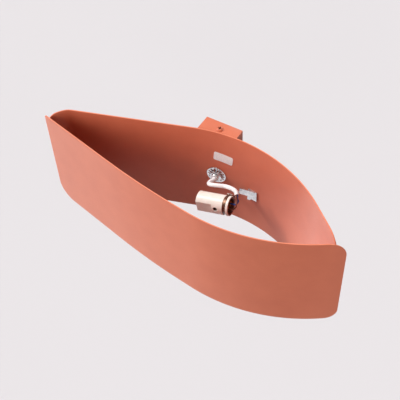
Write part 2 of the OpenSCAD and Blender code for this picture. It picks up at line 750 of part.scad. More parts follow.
shell_wall = 0.5;
shell_from = 1.5;
shell_len = 17;
tail_w = 4;
shell_tail_w = 3;
shell_tail_t = 0.4;
module holder_shell()
    color(brass)
        at_holder()
            translate([mouth_x, 0, 0]) {
                rotate([0, 90, 0])
                    translate([0, 0, shell_from])
                        difference() {
                            cylinder(d = shell_d + 2 * shell_wall, h = shell_len, $fn = round_fn);
                            translate([0, 0, -over])
                                cylinder(d = shell_d, h = shell_len + 2 * over, $fn = round_fn);
                        }
                translate([shell_from + shell_len - over, shell_d / 2, -shell_tail_w / 2])
                    cube([mouth_depth - seam - shell_from - shell_len + over, shell_tail_t, shell_tail_w]);
                translate([mouth_depth - seam - shell_wall, term_y - tail_w / 2, -shell_tail_w / 2])
                    cube([shell_wall, shell_d / 2 + shell_tail_t - term_y + tail_w / 2, shell_tail_w]);
                translate([mouth_depth - seam - shell_wall, term_y, 0])
                    rotate([0, 90, 0])
                        cylinder(d = web_hole_d - 2 * slip, h = web_t + shell_wall + seam, $fn = small_fn);
            }

contact_lift = 4;
module centre_contact()
    color(brass)
        at_holder()
            translate([mouth_x + mouth_depth - seam - shell_wall, 0, 0]) {
                translate([0, -term_y - tail_w / 2, -tail_w / 2])
                    cube([shell_wall, tail_w + term_y, tail_w]);
                translate([-contact_lift, -term_y - tail_w / 2, -tail_w / 2])
                    cube([contact_lift, shell_wall, tail_w]);
                translate([-contact_lift - shell_wall, -term_y - tail_w / 2, -tail_w / 2])
                    cube([shell_wall, tail_w + term_y, tail_w]);
                translate([0, -term_y, 0])
                    rotate([0, 90, 0])
                        cylinder(d = web_hole_d - 2 * slip, h = web_t + shell_wall + seam, $fn = small_fn);
            }

term_screw_d = 2.6;
term_head_d = 4.2;
term_head_h = 1.5;
term_screw_x = term_x0 + term_len * 0.62;
module holder_terminals()
    color(brass)
        at_holder()
            translate([mouth_x, 0, 0])
                for (side = [-1, 1])
                    translate([0, side * term_y, 0])
                        difference() {
                            translate([term_x0, -term_w / 2, term_top - term_h])
                                cube([term_len, term_w, term_h]);
                            translate([term_x0 + term_len / 4, 0, term_wire_z])
                                rotate([0, 90, 0])
                                    cylinder(d = wire_d + 4 * slip, h = term_len, $fn = small_fn);
                            translate([term_screw_x, 0, term_wire_z])
                                cylinder(d = term_screw_d + 2 * slip, h = term_h, $fn = small_fn);
                        }
module holder_terminal_screws()
    color(zinc)
        at_holder()
            translate([mouth_x + term_screw_x, 0, 0])
                for (side = [-1, 1])
                    translate([0, side * term_y, 0])
                        difference() {
                            union() {
                                translate([0, 0, term_wire_z + wire_d / 2 + slip])
                                    cylinder(d = term_screw_d, h = term_top - term_wire_z - wire_d / 2,
                                             $fn = small_fn);
                                translate([0, 0, term_top + slip])
                                    cylinder(d = term_head_d, h = term_head_h, $fn = small_fn);
                            }
                            translate([0, 0, term_top + slip + term_head_h])
                                cube([term_head_d / 6, term_head_d + over, term_head_h], center = true);
                        }

// Spring steel clip in the groove, with an ear for the bracket on the wall side
clip_wall = 1;
clip_bore_d = groove_d + 2 * slip;
clip_play = 0.25;
clip_w = groove_w - 2 * clip_play;
// The band is open at the lower front, beyond a line that far below the axis
clip_open_turn = -45;
clip_open_in = 2.9;
ear_t = 1.2;
ear_size = 9;
ear_y = holder_d / 2 + seam;
ear_out = ear_y + ear_t;
clip_screw_d = 3;
clip_head_d = 5.5;
clip_head_h = 2;
module holder_clip()
    color([0.45, 0.40, 0.36])
        at_holder()
            difference() {
                union() {
                    rotate([0, 90, 0])
                        difference() {
                            cylinder(d = clip_bore_d + 2 * clip_wall, h = clip_w, center = true,
                                     $fn = round_fn);
                            cylinder(d = clip_bore_d, h = clip_w + over, center = true, $fn = round_fn);
                        }
                    translate([-clip_w / 2, groove_d / 2 + slip, -ear_size / 2 + clip_wall])
                        cube([clip_w, ear_y - groove_d / 2, ear_size - 2 * clip_wall]);
                    translate([-ear_size / 2, ear_y, -ear_size / 2]) cube([ear_size, ear_t, ear_size]);
                }
                rotate([0, 90, 0])
                    cylinder(d = clip_bore_d, h = clip_w + over, center = true, $fn = round_fn);
                rotate([-90, 0, 0]) cylinder(d = clip_screw_d + 2 * slip, h = holder_d, $fn = small_fn);
                rotate([clip_open_turn, 0, 0])
                    translate([0, 0, -clip_open_in - holder_d])
                        cube([2 * clip_w, 2 * holder_d, 2 * holder_d], center = true);
            }

module clip_screw()
    color(zinc)
        at_holder()
            rotate([-90, 0, 0]) {
                translate([0, 0, ear_y])
                    cylinder(d = clip_screw_d, h = ear_t + bracket_t + 2 * seam, $fn = small_fn);
                translate([0, 0, ear_out + bracket_t + seam + slip])
                    difference() {
                        cylinder(d = clip_head_d, h = clip_head_h, $fn = small_fn);
                        translate([0, 0, clip_head_h])
                            cube([clip_head_d + over, clip_screw_d / 4, clip_head_h], center = true);
                    }
            }

// Folded bracket: flange on the strip, bar beside the lampholder, arm and foot.
// Its frame has +X along the bar and its zero under the middle of the clip groove.
foot_half = 5;
arm_x = 3.6;
lug_w = 3.5;
lug_slope = 8;
foot_y = ear_out + seam;
function in_bracket(p) = spun(p - [holder_x, -holder_out], -holder_turn);
fold_r = inner_r - 2 * seam - bracket_t / 2;
fold = in_bracket(peak_point(bracket_x - bracket_t / 2, fold_r));
flange_end = in_bracket(peak_point(bracket_x - bracket_flange_len, fold_r));
flange_tip = fold + unit(fold - flange_end) * bracket_t / 2;
bar_low = bracket_top_z - bracket_bar_h;
flange_low = bracket_top_z - bracket_flange_h;
bar_y = fold.y - bracket_t / 2;
bar_end = fold.x + bracket_t / 2;
lug_x = bar_end - lug_slope;
module lamp_bracket()
    color(zinc)
        translate([holder_x, -holder_out, 0])
            rotate([0, 0, holder_turn])
                difference() {
                    union() {
                        translate([-foot_half, foot_y, bar_low])
                            cube([foot_half + arm_x + bracket_t, bracket_t, holder_z + foot_half - bar_low]);
                        translate([arm_x, foot_y, bar_low])
                            cube([bracket_t, bar_y + bracket_t - foot_y, bracket_bar_h]);
                        translate([0, bar_y + bracket_t, 0])
                            rotate([90, 0, 0])
                                linear_extrude(height = bracket_t)
                                    polygon([[arm_x, bracket_top_z], [bar_end, bracket_top_z],
                                             [bar_end, bracket_top_z - bracket_t], [lug_x, flange_low],
                                             [lug_x - lug_w, flange_low], [lug_x - lug_w, bar_low],
                                             [arm_x, bar_low]]);
                        translate([0, 0, flange_low])
                            linear_extrude(height = bracket_flange_h)
                                sheet_plan([flange_end, flange_tip], bracket_t);
                    }
                    translate([0, 0, holder_z])
                        rotate([-90, 0, 0])
                            cylinder(d = clip_screw_d + 4 * slip, h = 2 * foot_y, $fn = small_fn);
                }

// Blank label, a thin film on the curved inner face
label_t = 0.2;
label_corner = 2.2;
module rating_label()
    color("white")
        intersection() {
            translate([peak_c.x, peak_c.y, label_z])
                rotate([0, 0, 60])
                    rotate_extrude(angle = 60, $fn = round_fn * 4)
                        translate([inner_r - seam - label_t, -label_w / 2]) square([label_t, label_w]);
            on_strip(label_x, label_z)
                rotate([0, label_tilt, 0])
                    rotate([90, 0, 0])
                        linear_extrude(height = label_h, center = true)
                            union() {
                                square([label_w - 2 * label_corner, label_h], center = true);
                                square([label_w, label_h - 2 * label_corner], center = true);
                                for (sx = [-1, 1], sz = [-1, 1])
                                    translate([sx * (label_w / 2 - label_corner),
                                               sz * (label_h / 2 - label_corner)])
                                        circle(r = label_corner, $fn = small_fn);
                            }
        }

front_strip();
back_strip();
wall_box();
press_nuts();
wall_plate();
plate_earth_screw();
lock_screw_top();
lock_screw_bottom();
nipple();
tooth_washer();
shade_lock_nut();
box_lock_nut();
earth_tag();
earth_lead();
nipple_bush();
lead_sleeve();
wire_live();
wire_neutral();
terminal_block();
terminal_inserts();
terminal_block_screws();
block_fixing_screw();
holder_body();
holder_shell();
centre_contact();
holder_terminals();
holder_terminal_screws();
holder_clip();
clip_screw();
lamp_bracket();
rating_label();
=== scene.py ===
import math

import bmesh
import bpy
import numpy as np
from mathutils import Matrix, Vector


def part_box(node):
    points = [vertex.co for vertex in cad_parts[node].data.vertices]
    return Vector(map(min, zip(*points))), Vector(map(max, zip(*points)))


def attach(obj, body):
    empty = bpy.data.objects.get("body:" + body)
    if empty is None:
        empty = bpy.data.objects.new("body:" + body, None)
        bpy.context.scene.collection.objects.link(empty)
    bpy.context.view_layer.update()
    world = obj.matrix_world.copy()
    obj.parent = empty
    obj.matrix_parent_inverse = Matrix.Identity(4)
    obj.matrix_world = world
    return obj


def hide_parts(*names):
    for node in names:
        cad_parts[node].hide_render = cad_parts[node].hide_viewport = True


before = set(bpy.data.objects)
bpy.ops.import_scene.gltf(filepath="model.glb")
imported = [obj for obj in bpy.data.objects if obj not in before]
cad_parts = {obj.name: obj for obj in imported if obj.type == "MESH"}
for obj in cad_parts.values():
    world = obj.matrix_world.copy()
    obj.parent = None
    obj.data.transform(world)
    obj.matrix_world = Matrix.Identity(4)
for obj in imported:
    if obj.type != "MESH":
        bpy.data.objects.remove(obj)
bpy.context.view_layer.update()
scene = bpy.context.scene

# Where the camera stands: to the right of the light and above it, looking down through a long lens.
# Its roll is the small tilt of the photograph, and the shift is how far its middle was cropped.
CAMERA_PLACE = (0.34905, -0.58211, 0.72733)
CAMERA_AZIMUTH = math.radians(33.84)
CAMERA_ELEVATION = math.radians(49.37)
CAMERA_ROLL = math.radians(2.96)
CAMERA_LENS = 74.57
CAMERA_SHIFT = (0.0036, -0.0002)

level = np.array([math.cos(CAMERA_AZIMUTH), math.sin(CAMERA_AZIMUTH), 0.0])
ahead = np.array([-math.sin(CAMERA_AZIMUTH) * math.cos(CAMERA_ELEVATION),
                  math.cos(CAMERA_AZIMUTH) * math.cos(CAMERA_ELEVATION), -math.sin(CAMERA_ELEVATION)])
upright = np.cross(level, ahead)
camera_right = level * math.cos(CAMERA_ROLL) - upright * math.sin(CAMERA_ROLL)
camera_up = upright * math.cos(CAMERA_ROLL) + level * math.sin(CAMERA_ROLL)
camera = bpy.data.objects.new("camera", bpy.data.cameras.new("camera"))
camera.data.lens = CAMERA_LENS
camera.data.sensor_width = 36.0
camera.data.shift_x, camera.data.shift_y = CAMERA_SHIFT
camera.data.clip_start = 0.02
camera.matrix_world = Matrix.LocRotScale(
    CAMERA_PLACE, Matrix(np.column_stack([camera_right, camera_up, -ahead]).tolist()), None)
scene.collection.objects.link(camera)
scene.camera = camera

# The studio: a wide pale floor far below the light, five lamps and a faint even surround. Each lamp has
# its azimuth, elevation and spread in degrees, and its strength. Two stand high on the left, one glows
# from low on the left, and two fill. The floor only shows: it neither shades nor lights the shade.
FLOOR_DROP = 0.9
FLOOR_HALF = 12.0
FLOOR_COLOUR = (0.64, 0.62, 0.639)
FLOOR_BLOTCH = 900.0
FLOOR_DRIFT = 0.005
LAMPS = (("key_high", -180, 68, 30, 1.7),
         ("key_left", -160, 39, 14, 1.85),
         ("glow_low", -180, -25, 40, 2.05),
         ("fill_front", -64, 17, 40, 1.6),
         ("fill_back", 98, 25, 40, 0.9))
LAMP_COLOUR = (1.0, 0.985, 0.97)
SURROUND_STRENGTH = 0.16


def screen(red, green, blue):
    """The linear light of a colour that a screen shows with these values, from 0 to 255."""
    value = np.array([red, green, blue]) / 255
    return tuple(np.where(value <= 0.04045, value / 12.92, ((value + 0.055) / 1.055) ** 2.4).tolist())


def shaded(name, colour, roughness, metal=0.0):
    """A new material: its nodes, its principled shader, and places on the piece itself, in metres."""
    material = bpy.data.materials.new(name)
    material.use_nodes = True
    shader = material.node_tree.nodes["Principled BSDF"]
    shader.inputs["Base Color"].default_value = (*colour, 1)
    shader.inputs["Roughness"].default_value = roughness
    shader.inputs["Metallic"].default_value = metal
    place = material.node_tree.nodes.new("ShaderNodeTexCoord").outputs["Object"]
    return material, material.node_tree, shader, place


def cloud(tree, place, size, detail=2.0, stretch=(1, 1, 1)):
    """Soft noise from 0 to 1 with blotches of that size in millimetres, longer where stretch is less."""
    turned_to = tree.nodes.new("ShaderNodeMapping")
    turned_to.inputs["Scale"].default_value = stretch
    noise = tree.nodes.new("ShaderNodeTexNoise")
    noise.inputs["Scale"].default_value = 1000 / size
    noise.inputs["Detail"].default_value = detail
    tree.links.new(place, turned_to.inputs["Vector"])
    tree.links.new(turned_to.outputs["Vector"], noise.inputs["Vector"])
    return noise.outputs["Fac"]


def ranged(tree, source, low, high, socket, least=0.3, most=0.7):
    """Feeds a socket with a value that runs from low to high as the source runs from least to most."""
    ramp = tree.nodes.new("ShaderNodeMapRange")
    for key, value in (("From Min", least), ("From Max", most), ("To Min", low), ("To Max", high)):
        ramp.inputs[key].default_value = value
    tree.links.new(source, ramp.inputs["Value"])
    tree.links.new(ramp.outputs["Result"], socket)


def tinted(tree, source, first, second, socket, least=0.3, most=0.7):
    """Feeds a colour socket with a tint that runs from the first to the second as the source rises."""
    ramp = tree.nodes.new("ShaderNodeValToRGB")
    ramp.color_ramp.elements[0].position = least
    ramp.color_ramp.elements[0].color = (*first, 1)
    ramp.color_ramp.elements[1].position = most
    ramp.color_ramp.elements[1].color = (*second, 1)
    tree.links.new(source, ramp.inputs["Fac"])
    tree.links.new(ramp.outputs["Color"], socket)


def relief(tree, shader, height, depth, strength):
    """Bends the shader's normal over a relief of that depth in millimetres."""
    bump = tree.nodes.new("ShaderNodeBump")
    bump.inputs["Strength"].default_value = strength
    bump.inputs["Distance"].default_value = depth / 1000
    tree.links.new(height, bump.inputs["Height"])
    tree.links.new(bump.outputs["Normal"], shader.inputs["Normal"])


floor_finish, floor_tree, floor_shader, floor_place = shaded("pale_floor", FLOOR_COLOUR, 0.9)
floor_dull, floor_bright = (tuple((1 + drift) * c for c in FLOOR_COLOUR)
                            for drift in (-FLOOR_DRIFT, FLOOR_DRIFT))
tinted(floor_tree, cloud(floor_tree, floor_place, FLOOR_BLOTCH), floor_dull, floor_bright,
       floor_shader.inputs["Base Color"])
floor_shader.inputs["Specular IOR Level"].default_value = 0.0
floor_mesh = bpy.data.meshes.new("floor")
floor_mesh.from_pydata([(FLOOR_HALF * x, FLOOR_HALF * y, -FLOOR_DROP)
                        for x, y in ((-1, -1), (1, -1), (1, 1), (-1, 1))], [], [(0, 1, 2, 3)])
floor_mesh.materials.append(floor_finish)
floor = bpy.data.objects.new("floor", floor_mesh)
floor.visible_diffuse = False
floor.visible_shadow = False
scene.collection.objects.link(floor)

for name, azimuth, elevation, spread, strength in LAMPS:
    lamp = bpy.data.objects.new(name, bpy.data.lights.new(name, "SUN"))
    lamp.data.energy = strength
    lamp.data.angle = math.radians(spread)
    lamp.data.color = LAMP_COLOUR
    turn = math.radians(azimuth)
    rise = math.radians(elevation)
    towards = np.array([math.cos(turn) * math.cos(rise), math.sin(turn) * math.cos(rise), math.sin(rise)])
    sideways = np.array([-math.sin(turn), math.cos(turn), 0.0])
    lamp.matrix_world = Matrix(
        np.column_stack([sideways, np.cross(towards, sideways), towards]).tolist()).to_4x4()
    scene.collection.objects.link(lamp)

surround = bpy.data.worlds.new("surround")
surround.use_nodes = True
surround.node_tree.nodes["Background"].inputs["Color"].default_value = (*screen(250, 250, 252), 1)
surround.node_tree.nodes["Background"].inputs["Strength"].default_value = SURROUND_STRENGTH
scene.world = surround
scene.view_settings.view_transform = "Standard"

# The shade: two long strips of 1.4 mm steel sheet, rolled to slow bends and welded at their tips, so
# that they make a leaf seen from above. Their edges are deburred and their corners round, except the
# almost sharp front tip, and they have a matt terracotta powder coat.
SHEET = 1.4
EDGE = 0.45
CORNER = 22.0
FRONT_TIP = 3.0
BACK_TIP = 12.0
HEEL = 14.0
CHORD_OUT = 94.0
FRONT_CORNERS = ((-189.0, 3.6 - CHORD_OUT), (-34.0, -31.0 - CHORD_OUT),
                 (120.0, -49.0 - CHORD_OUT), (193.0, 9.2 - CHORD_OUT))
FRONT_RADII = (960.0, 215.0)
BACK_KNEE = (-173.0, 23.4 - CHORD_OUT)
BACK_PEAK = (66.5, 102.0 - CHORD_OUT)
BACK_RADII = (20.0, 181.0)
LAP = (3.0, 10.0)
SEAM = 0.1
NIPPLE_X = -2.0
NIPPLE_Z = -2.0
NIPPLE_D = 10.0
RUN_STEP = 2.0
ROWS = {"front": 33, "back": 61}
ARC_STEPS = 10
LEAST_STEP_SHARE = 0.05
EDGE_STEPS = 4
HOLE_REACH = 2
HOLE_RINGS = 6
COAT = screen(217, 115, 81)
COAT_DEEP = screen(211, 109, 76)
# A lighter coat colour, painted along the rounded edges of the sheet as a highlight.
COAT_EDGE_HIGHLIGHT = screen(231, 132, 97)


def box_of(node):
    """The lowest and highest corners of a CAD piece, in millimetres."""
    return [1000 * np.array(corner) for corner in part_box(node)]


def facing(angle):
    """The plan direction at an angle, along +X at zero and along +Y at a quarter turn."""
    return np.stack([np.cos(angle), np.sin(angle)], -1)


def bent_line(corners, radii):
    """The legs of a plan line that runs straight between corners and turns each inner one in an arc:
    length, start, heading at the start, and turn per millimetre."""
    corners = np.array(corners)
    way = np.diff(corners, axis=0)
    heading = np.arctan2(way[:, 1], way[:, 0])
    turn = np.diff(heading)
    trim = np.concatenate([[0.0], np.array(radii) * np.tan(np.abs(turn) / 2), [0.0]])
    run = np.hypot(way[:, 0], way[:, 1]) - trim[:-1] - trim[1:]
    legs = []
    for i, length in enumerate(run):
        start = corners[i] + trim[i] * facing(heading[i])
        legs.append((length, start, heading[i], 0.0))
        if i < len(turn):
            start = start + length * facing(heading[i])
            legs.append((radii[i] * abs(turn[i]), start, heading[i], np.sign(turn[i]) / radii[i]))
    return legs


def along(legs, distance, aside):
    """Plan points at distances along the legs, moved aside to the left. On a leg that turns, the point
    goes round its arc, and past both ends the line runs on as it started or ended."""
    ends = np.cumsum([leg[0] for leg in legs])
    which = np.clip(np.searchsorted(ends, distance), 0, len(legs) - 1)
    gone = distance - (ends - [leg[0] for leg in legs])[which]
    start = np.array([leg[1] for leg in legs])[which]
    first = np.array([leg[2] for leg in legs])[which]
    turn = np.array([leg[3] for leg in legs])[which]
    now = first + turn * gone
    safe = np.where(turn == 0, 1.0, turn)
    arc = np.stack([np.sin(now) - np.sin(first), np.cos(first) - np.cos(now)], -1) / safe[..., None]
    moved = np.where(turn[..., None] == 0, gone[..., None] * facing(first), arc)
    return start + moved + np.asarray(aside)[..., None] * facing(now + math.pi / 2)


def crossing(start, way, other, other_way):
    """How far along one plan line another one crosses it."""
    return np.linalg.solve(np.column_stack([way, -other_way]), other - start)[0]


def skin(name, grids, body, material, sharp=40, marks=None, keeps=None, maps=None):
    """One mesh of four sided faces from grids of points, rows by columns, in millimetres. Points that
    meet become one, faces point outwards, marks are values on the points and maps are two numbers a
    point for the finish, and keeps says which faces of a grid stay."""
    points = np.concatenate([grid.reshape(-1, 3) for grid in grids])
    corners = []
    first = 0
    for i, grid in enumerate(grids):
        rows, columns = grid.shape[:2]
        number = first + np.arange(rows * columns).reshape(rows, columns)
        cell = np.stack([number[:-1, :-1], number[:-1, 1:], number[1:, 1:], number[1:, :-1]], -1)
        keep = np.ones(cell.shape[:2], bool) if keeps is None or keeps[i] is None else keeps[i]
        corners.append(cell[keep])
        first += rows * columns
    corners = np.concatenate(corners)
    _, kept, number = np.unique(np.round(points * 2000), axis=0, return_index=True, return_inverse=True)
    joined = number.reshape(-1)[corners]
    shrunk = joined == np.roll(joined, -1, axis=1)
    whole = shrunk.sum(1) == 0
    three = shrunk.sum(1) == 1
    mesh = bpy.data.meshes.new(name)
    mesh.from_pydata((points[kept] / 1000).tolist(), [],
                     joined[whole].tolist() + joined[three][~shrunk[three]].reshape(-1, 3).tolist())
    if marks is not None:
        value = np.concatenate([np.broadcast_to(m, g.shape[:2]).reshape(-1) for m, g in zip(marks, grids)])
        mark = mesh.attributes.new("mark", "FLOAT", "POINT")
        mark.data.foreach_set("value", value[kept].astype(np.float32))
    if maps is not None:
        flat = np.concatenate([m.reshape(-1, 2) for m in maps])
        each = np.concatenate([flat[corners[whole]].reshape(-1, 2),
                               flat[corners[three][~shrunk[three]]].reshape(-1, 2)])
        mesh.uv_layers.new(name="run").data.foreach_set("uv", each.astype(np.float32).reshape(-1))
    return made(name, mesh, body, material, sharp)


def made(name, mesh, body, material, sharp):
    """The finished piece: faces outwards, smooth between edges sharper than that many degrees, its
    material, and the body that it rides on."""
    shape = bmesh.new()
    shape.from_mesh(mesh)
    bmesh.ops.recalc_face_normals(shape, faces=shape.faces)
    shape.to_mesh(mesh)
    shape.free()
    mesh.polygons.foreach_set("use_smooth", np.ones(len(mesh.polygons), bool))
    mesh.set_sharp_from_angle(angle=math.radians(sharp))
    mesh.materials.append(material)
    piece = bpy.data.objects.new(name, mesh)
    scene.collection.objects.link(piece)
    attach(piece, body)
    return piece


def plate_side(column, length, corners, half_height, edge):
    """The upper outline of a plate's face over its columns, and the way out of the plate there: straight
    under the top, and at each end the arc of that corner."""
    into = np.stack([corners[0] - column, corners[1] - (length - column)])
    side = np.where(into[0] > 0, -1, np.where(into[1] > 0, 1, 0))
    radius = np.where(side < 0, corners[0], corners[1])
    off = np.where(side < 0, -into[0], into[1]) * (side != 0)
    rise = np.sqrt(np.clip((radius - edge) ** 2 - off ** 2, 0, None))
    top = np.where(side == 0, half_height - edge, half_height - radius + rise)
    out = np.stack([off, np.where(side == 0, radius - edge, rise)], -1) / (radius - edge)[:, None]
    return top, out


def plate_grids(length, half_height, corners, thickness, edge, step, rows, place, hole=None):
    """A thin plate with round corners and rounded edges, as grids and their rim marks. On its flat
    pattern a point is a distance along and a height, and the corners' radii are those at the upper left
    and right and at the lower left and right. The columns close up to the corners as their arcs do, the
    edge is a half round drawn outwards from the faces' outline, and place puts distance, height and
    depth in the sheet into space. A hole of (distance, height, radius) is ringed by its own cells."""
    arc = 1 - np.cos(np.linspace(0, math.pi / 2, ARC_STEPS + 1))
    near = edge + np.concatenate([(r - edge) * arc for r in (corners[0], corners[2])])
    away = length - edge - np.concatenate([(r - edge) * arc for r in (corners[1], corners[3])])
    middle = np.arange(max(corners), length - max(corners), step)
    column = np.sort(np.concatenate([near, middle, away]))
    column = column[np.concatenate([[True], np.diff(column) > LEAST_STEP_SHARE * edge])]
    top, out = plate_side(column, length, corners[:2], half_height, edge)
    bottom, down = plate_side(column, length, corners[2:], half_height, edge)
    down = down * [1, -1]
    share = np.linspace(0, 1, rows)[:, None]
    distance = np.tile(column, (rows, 1))
    height = share * top - (1 - share) * bottom
    faces = [place(distance, height, np.full(distance.shape, side * thickness / 2)) for side in (1, -1)]
    ends = np.ones(rows - 1)
    loop = np.concatenate([np.column_stack([distance[0, :-1], height[0, :-1], down[:-1]]),
                           np.column_stack([distance[:-1, -1], height[:-1, -1], ends, 0 * ends]),
                           np.column_stack([distance[-1, :0:-1], height[-1, :0:-1], out[:0:-1]]),
                           np.column_stack([distance[:0:-1, 0], height[:0:-1, 0], -ends, 0 * ends])])
    loop = np.concatenate([loop, loop[:1]])
    quarter = np.linspace(0, math.pi / 2, EDGE_STEPS + 1)
    round_by = np.concatenate([np.sin(quarter), np.sin(quarter[::-1])])[:, None]
    depth = thickness / 2 - edge + edge * np.cos(quarter)
    depth = np.concatenate([depth, -depth[::-1]])[:, None] * np.ones(len(loop))
    rim = place(loop[:, 0] + edge * round_by * loop[:, 2], loop[:, 1] + edge * round_by * loop[:, 3], depth)
    grids = faces + [rim]
    # The rounded edge is marked, and the coat paints a highlight there.
    marks = [0.0, 0.0, round_by]
    keeps = [None, None, None]
    if hole is not None:
        reach = HOLE_REACH * hole[2]
        left, right = np.searchsorted(column, [hole[0] - reach, hole[0] + reach])
        low, top_row = np.searchsorted(height[:, left], [hole[1] - reach, hole[1] + reach])
        keep = np.ones((rows - 1, len(column) - 1), bool)
        keep[low:top_row, left:right] = False
        block = (slice(low, top_row + 1), slice(left, right + 1))
        ring = np.stack([distance[block], height[block]], -1)
        ring = np.concatenate([ring[0, :-1], ring[:-1, -1], ring[-1, :0:-1], ring[:0:-1, 0], ring[0, :1]])
        spoke = ring - hole[:2]
        circle = hole[:2] + hole[2] * spoke / np.linalg.norm(spoke, axis=1, keepdims=True)
        blend = np.linspace(0, 1, HOLE_RINGS + 1)[:, None, None]
        patch = ring * (1 - blend) + circle * blend
        wall = np.array([1.0, -1.0])[:, None] * np.ones(len(circle)) * thickness / 2
        grids += [place(patch[..., 0], patch[..., 1], np.full(patch.shape[:2], side * thickness / 2))
                  for side in (1, -1)]
        grids.append(place(np.tile(circle[:, 0], (2, 1)), np.tile(circle[:, 1], (2, 1)), wall))
        marks += [0.0, 0.0, 0.0]
        keeps = [keep, keep, None, None, None, None]
    return grids, marks, keeps


def powder_coat(name, marked):
    """Matt powder coat: flowed grains under half a millimetre, faint clouds, and another colour where
    it is marked: a painted highlight along the rounded edges, or painted shade in a screw's drive."""
    material, tree, shader, place = shaded(name, COAT, 0.5)
    flow = cloud(tree, place, 0.55, 1.0)
    film = tree.nodes.new("ShaderNodeMix")
    film.data_type = "RGBA"
    edge = tree.nodes.new("ShaderNodeAttribute")
    edge.attribute_name = "mark"
    tinted(tree, cloud(tree, place, 26.0, 3.0), COAT_DEEP, COAT, film.inputs["A"])
    # The marked colour is painted light: a highlight on the strips' edges, or shade in a screw's drive.
    film.inputs["B"].default_value = (*marked, 1)
    tree.links.new(edge.outputs["Fac"], film.inputs["Factor"])
    tree.links.new(film.outputs["Result"], shader.inputs["Base Color"])
    ranged(tree, flow, 0.42, 0.56, shader.inputs["Roughness"])
    shader.inputs["Specular IOR Level"].default_value = 0.5
    shader.inputs["Sheen Weight"].default_value = 0.42
    shader.inputs["Sheen Roughness"].default_value = 0.35
    relief(tree, shader, flow, 0.05, 0.35)
    return material


strip_low, strip_high = box_of("front_strip")
half_height = (strip_high[2] - strip_low[2]) / 2
front_legs = bent_line(FRONT_CORNERS, FRONT_RADII)
left_way = facing(front_legs[0][2])
right_way = -facing(front_legs[-1][2])
weld_left = np.array(FRONT_CORNERS[0]) + left_way * LAP[0] + left_way[::-1] * [-1, 1] * SHEET / 2
weld_right = np.array(FRONT_CORNERS[-1]) + right_way * LAP[1] - right_way[::-1] * [-1, 1] * SHEET / 2
back_legs = bent_line((weld_left, BACK_KNEE, BACK_PEAK, weld_right), BACK_RADII)
front_length = sum(leg[0] for leg in front_legs)
back_length = sum(leg[0] for leg in back_legs)
coat = powder_coat("terracotta_powder_coat", COAT_EDGE_HIGHLIGHT)


def on_front(distance, height, depth):
    """The front strip: the flat pattern carried along its plan line."""
    return np.concatenate([along(front_legs, distance, depth), height[..., None]], -1)


def end_shift(end, way, face, face_way, aside):
    """How far the back strip's face, that far aside, still runs to the face of the front strip."""
    return crossing(end + aside * way[::-1] * [-1, 1], way, face, face_way)


def on_back(distance, height, depth):
    """The back strip: carried along its plan line, with both ends slanted to the front strip's face."""
    face = SHEET / 2 + SEAM
    way = facing(back_legs[0][2])
    shift = [end_shift(back_legs[0][1], way, along(front_legs, np.array(0.0), face), left_way, side)
             for side in (0.0, 1.0)]
    begin = shift[0] + (shift[1] - shift[0]) * depth
    last = back_legs[-1]
    way = facing(last[2])
    tip = last[1] + last[0] * way
    shift = [end_shift(tip, way, along(front_legs, np.array(front_length), face), right_way, side)
             for side in (0.0, 1.0)]
    finish = shift[0] + (shift[1] - shift[0]) * depth
    to_end = back_length - distance
    moved = distance + begin * np.clip(1 - distance / CORNER, 0, 1)
    moved = moved + finish * np.clip(1 - to_end / CORNER, 0, 1)
    return np.concatenate([along(back_legs, moved, depth), height[..., None]], -1)


peak_legs = np.cumsum([leg[0] for leg in back_legs])
peak_r = BACK_RADII[1]
peak_turn = back_legs[3][3]
peak_centre = back_legs[3][1] + facing(back_legs[3][2] + math.pi / 2) / peak_turn
inner_r = peak_r - SHEET / 2


def peak_angle(x):
    """How far the back strip's large bend has turned at x, seen from above."""
    return -math.asin((x - peak_centre[0]) / peak_r)


nipple_distance = peak_legs[2] + peak_r * (back_legs[3][2] - peak_angle(NIPPLE_X))
front_corners = (FRONT_TIP, CORNER, CORNER, HEEL)
grids, marks, keeps = plate_grids(front_length, half_height, front_corners, SHEET, EDGE, RUN_STEP,
                                  ROWS["front"], on_front)
front = skin("shade_front", grids, "housing", coat, marks=marks, keeps=keeps)
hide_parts("front_strip")
back_corners = (BACK_TIP, CORNER, CORNER, CORNER)
nipple_hole = (nipple_distance, NIPPLE_Z, NIPPLE_D / 2 + SEAM)
grids, marks, keeps = plate_grids(back_length, half_height, back_corners, SHEET, EDGE, RUN_STEP,
                                  ROWS["back"], on_back, nipple_hole)
back = skin("shade_back", grids, "housing", coat, marks=marks, keeps=keeps)
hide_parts("back_strip")

# The weld beads: a thin steel bead down the outer side of each tip, where the back strip meets the
# front one. It has the fine ripple of the torch, and is coated together with the strips.
BEAD = 0.75
BEAD_RIPPLE = (0.07, 4.0)
BEAD_LEAST = 0.05
BEAD_SHORT = 2.0
BEAD_RINGS = 110


def crossed(grid):
    """The same grid with its ends closed: each end ring is followed by its own middle."""
    return np.concatenate([np.broadcast_to(grid[:1].mean(1, keepdims=True), grid[:1].shape), grid,
                           np.broadcast_to(grid[-1:].mean(1, keepdims=True), grid[-1:].shape)])


def ringed(line, side, radius, count):
    """Rings of points round a space line. The side vector of each ring is the one before it, turned as
    little as the line's bend asks, so that the tube doesn't twist. Radius is one value a ring or point."""
    tangent = np.gradient(line, axis=0)
    tangent /= np.linalg.norm(tangent, axis=1, keepdims=True)
    first = []
    for way in tangent:
        side = side - way * (side @ way)
        side = side / np.linalg.norm(side)
        first.append(side)
    first = np.array(first)
    angle = np.linspace(0, 2 * math.pi, count + 1)[:, None]
    out = first[:, None] * np.cos(angle) + np.cross(tangent, first)[:, None] * np.sin(angle)
    return line[:, None] + out * np.broadcast_to(radius, (len(line), count + 1))[..., None]


